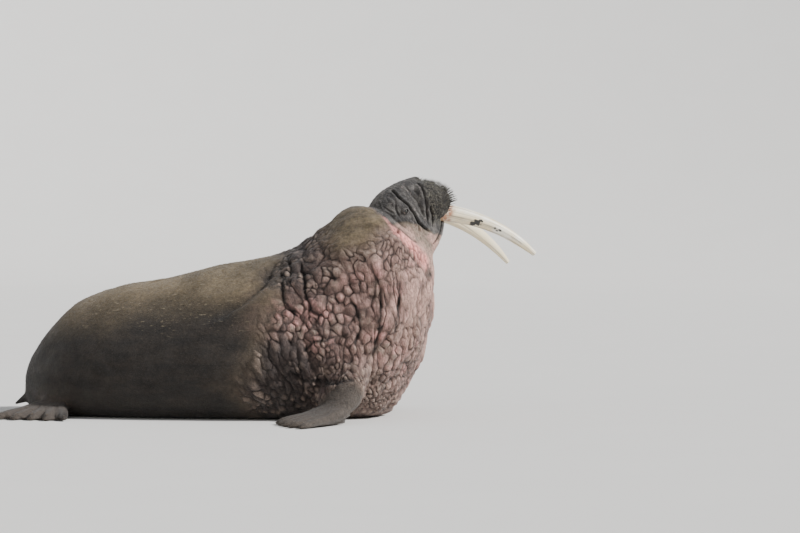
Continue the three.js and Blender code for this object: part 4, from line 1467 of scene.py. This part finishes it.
class WALRUS_OT_claws(bpy.types.Operator):
    """Set a small worn claw on each digit of the four flippers"""

    bl_idname = "walrus.claws"
    bl_label = "Claws"

    # How far each claw's root lies behind the end of its digit, and how high over the ground the search for
    # the digit's back starts.
    behind = 34 * MM
    above = 300 * MM

    def execute(self, context):
        skin = bpy.data.objects["hide"]
        hues = context.scene.walrus_hues
        claws = []
        down = Vector((0, 0, -1))
        for flipper in (FORE, HIND):
            for side in SIDES:
                for root, way, reach in digit_tips(flipper, side):
                    bed = root + way * (reach - self.behind)
                    hit, spot, _, _ = skin.ray_cast(Vector((bed.x, bed.y, self.above)), down)
                    if hit:
                        claws.append(self.claw(spot, way, flipper["claw"] * MM))
        material = horn_material("claw_horn", hues.claw_dark, hues.claw, 0.45)
        keep_piece(joined(claws), "claws", material, "flipper_hide")
        return {"FINISHED"}

    def claw(self, spot, way, long):
        """A cone bent down to its blunt tip, its root sunk in the digit."""
        bpy.ops.object.select_all(action="DESELECT")
        bpy.ops.mesh.primitive_cone_add(vertices=12, radius1=1, radius2=0.2, depth=2)
        piece = bpy.context.object
        apply_modifier(piece, "BEVEL", width=0.12, segments=2)
        edit_all(piece, bpy.ops.mesh.subdivide, number_cuts=2)
        points = points_of(piece)
        share = (points[:, 2] + 1) / 2
        side = Vector((-way.y, way.x, 0))
        ahead = (share - 0.25) * long
        rise = long * (0.16 * np.sin(share * pi) - 0.12 * share) + points[:, 1] * long * 0.17
        place = np.array(spot) + np.outer(ahead, way) + np.outer(points[:, 0] * long * 0.24, side)
        place[:, 2] += rise + 0.02 * long
        place_points(piece, place)
        edit_all(piece, bpy.ops.mesh.normals_make_consistent, inside=False)
        shade_smooth(piece)
        return piece


class WALRUS_OT_stage(bpy.types.Operator):
    """Set the floor, the lights and the camera"""

    bl_idname = "walrus.stage"
    bl_label = "Stage"

    # The floor, in metres: how wide it is, and where it starts and ends its rise to the backdrop's height.
    floor_size = 96
    rise_from = 22
    rise_to = 46
    backdrop = 16

    # The camera, in metres and degrees: how far to the right of the model and in front of it, how far it is
    # turned round to the walrus's front, and how far it looks down.
    camera_right = 2.12
    camera_away = 18.21
    camera_turn = 10
    camera_down = 1.46
    lens = 152.8

    # How strong the light from all round is.
    air_strength = 0.5

    # Suns: where they stand, how wide they are in degrees, and their strength.
    suns = {"key": ((0.80, -0.10, 0.58), 6, 6.6), "fill": ((-0.35, -0.85, 0.40), 60, 0.28)}

    def execute(self, context):
        scene = context.scene
        bpy.ops.object.select_all(action="DESELECT")
        bpy.ops.mesh.primitive_grid_add(x_subdivisions=160, y_subdivisions=160, size=self.floor_size)
        floor = context.object
        floor.name = "studio_floor"
        points = points_of(floor)
        away = np.hypot(points[:, 0], points[:, 1])
        points[:, 2] = self.backdrop * step(away, self.rise_from, self.rise_to)
        place_points(floor, points)
        shade_smooth(floor)
        finish_with(floor, floor_material(scene.walrus_hues))
        self.add_camera(scene)
        for name, sun in self.suns.items():
            self.add_sun(name, *sun)
        world = bpy.data.worlds.new("studio_air")
        world.use_nodes = True
        background = world.node_tree.nodes["Background"]
        background.inputs["Color"].default_value = linear(scene.walrus_hues.air)
        background.inputs["Strength"].default_value = self.air_strength
        scene.world = world
        return {"FINISHED"}

    def add_camera(self, scene):
        turn = radians(self.camera_turn)
        right = Vector((cos(turn), sin(turn), 0))
        ahead = Vector((-sin(turn), cos(turn), 0))
        spot = right * self.camera_right - ahead * self.camera_away - DRAWN_FROM * MM
        bpy.ops.object.camera_add(location=(spot.x, spot.y, scene.walrus_sizes.camera_height))
        camera = bpy.context.object
        camera.rotation_euler = (radians(90 - self.camera_down), 0, turn)
        camera.data.lens = self.lens
        camera.data.sensor_width = 36
        camera.data.clip_end = 200
        scene.camera = camera

    def add_sun(self, name, towards, spread, strength):
        """A wide, even studio light from the given direction."""
        bpy.ops.object.light_add(type="SUN", location=Vector(towards) * 8)
        light = bpy.context.object
        light.name = name
        light.data.angle = radians(spread)
        light.data.energy = strength
        light.rotation_euler = Vector(towards).to_track_quat("Z", "Y").to_euler()


class WALRUS_PT_panel(bpy.types.Panel):
    """Lists the walrus's pieces and settings"""

    bl_idname = "WALRUS_PT_panel"
    bl_label = "Bull walrus"
    bl_space_type = "VIEW_3D"
    bl_region_type = "UI"
    bl_category = "Walrus"

    def draw(self, context):
        for operator in OPERATORS:
            self.layout.operator(operator.bl_idname)
        for settings in (context.scene.walrus_sizes, context.scene.walrus_hues):
            for name in settings.__annotations__:
                self.layout.prop(settings, name)


OPERATORS = [
    WALRUS_OT_stage,
    WALRUS_OT_hide,
    WALRUS_OT_eyes,
    WALRUS_OT_tusks,
    WALRUS_OT_claws,
    WALRUS_OT_whiskers,
    WALRUS_OT_hair,
]
CLASSES = [WalrusHues, WalrusSizes, *OPERATORS, WALRUS_PT_panel]


def register():
    for each in CLASSES:
        bpy.utils.register_class(each)
    bpy.types.Scene.walrus_hues = bpy.props.PointerProperty(type=WalrusHues)
    bpy.types.Scene.walrus_sizes = bpy.props.PointerProperty(type=WalrusSizes)


def unregister():
    del bpy.types.Scene.walrus_sizes
    del bpy.types.Scene.walrus_hues
    for each in reversed(CLASSES):
        bpy.utils.unregister_class(each)


def main():
    register()
    bpy.ops.walrus.stage()
    bpy.ops.walrus.hide()
    bpy.ops.walrus.eyes()
    bpy.ops.walrus.tusks()
    bpy.ops.walrus.claws()
    bpy.ops.walrus.whiskers()
    bpy.ops.walrus.hair()


if __name__ == "__main__":
    main()
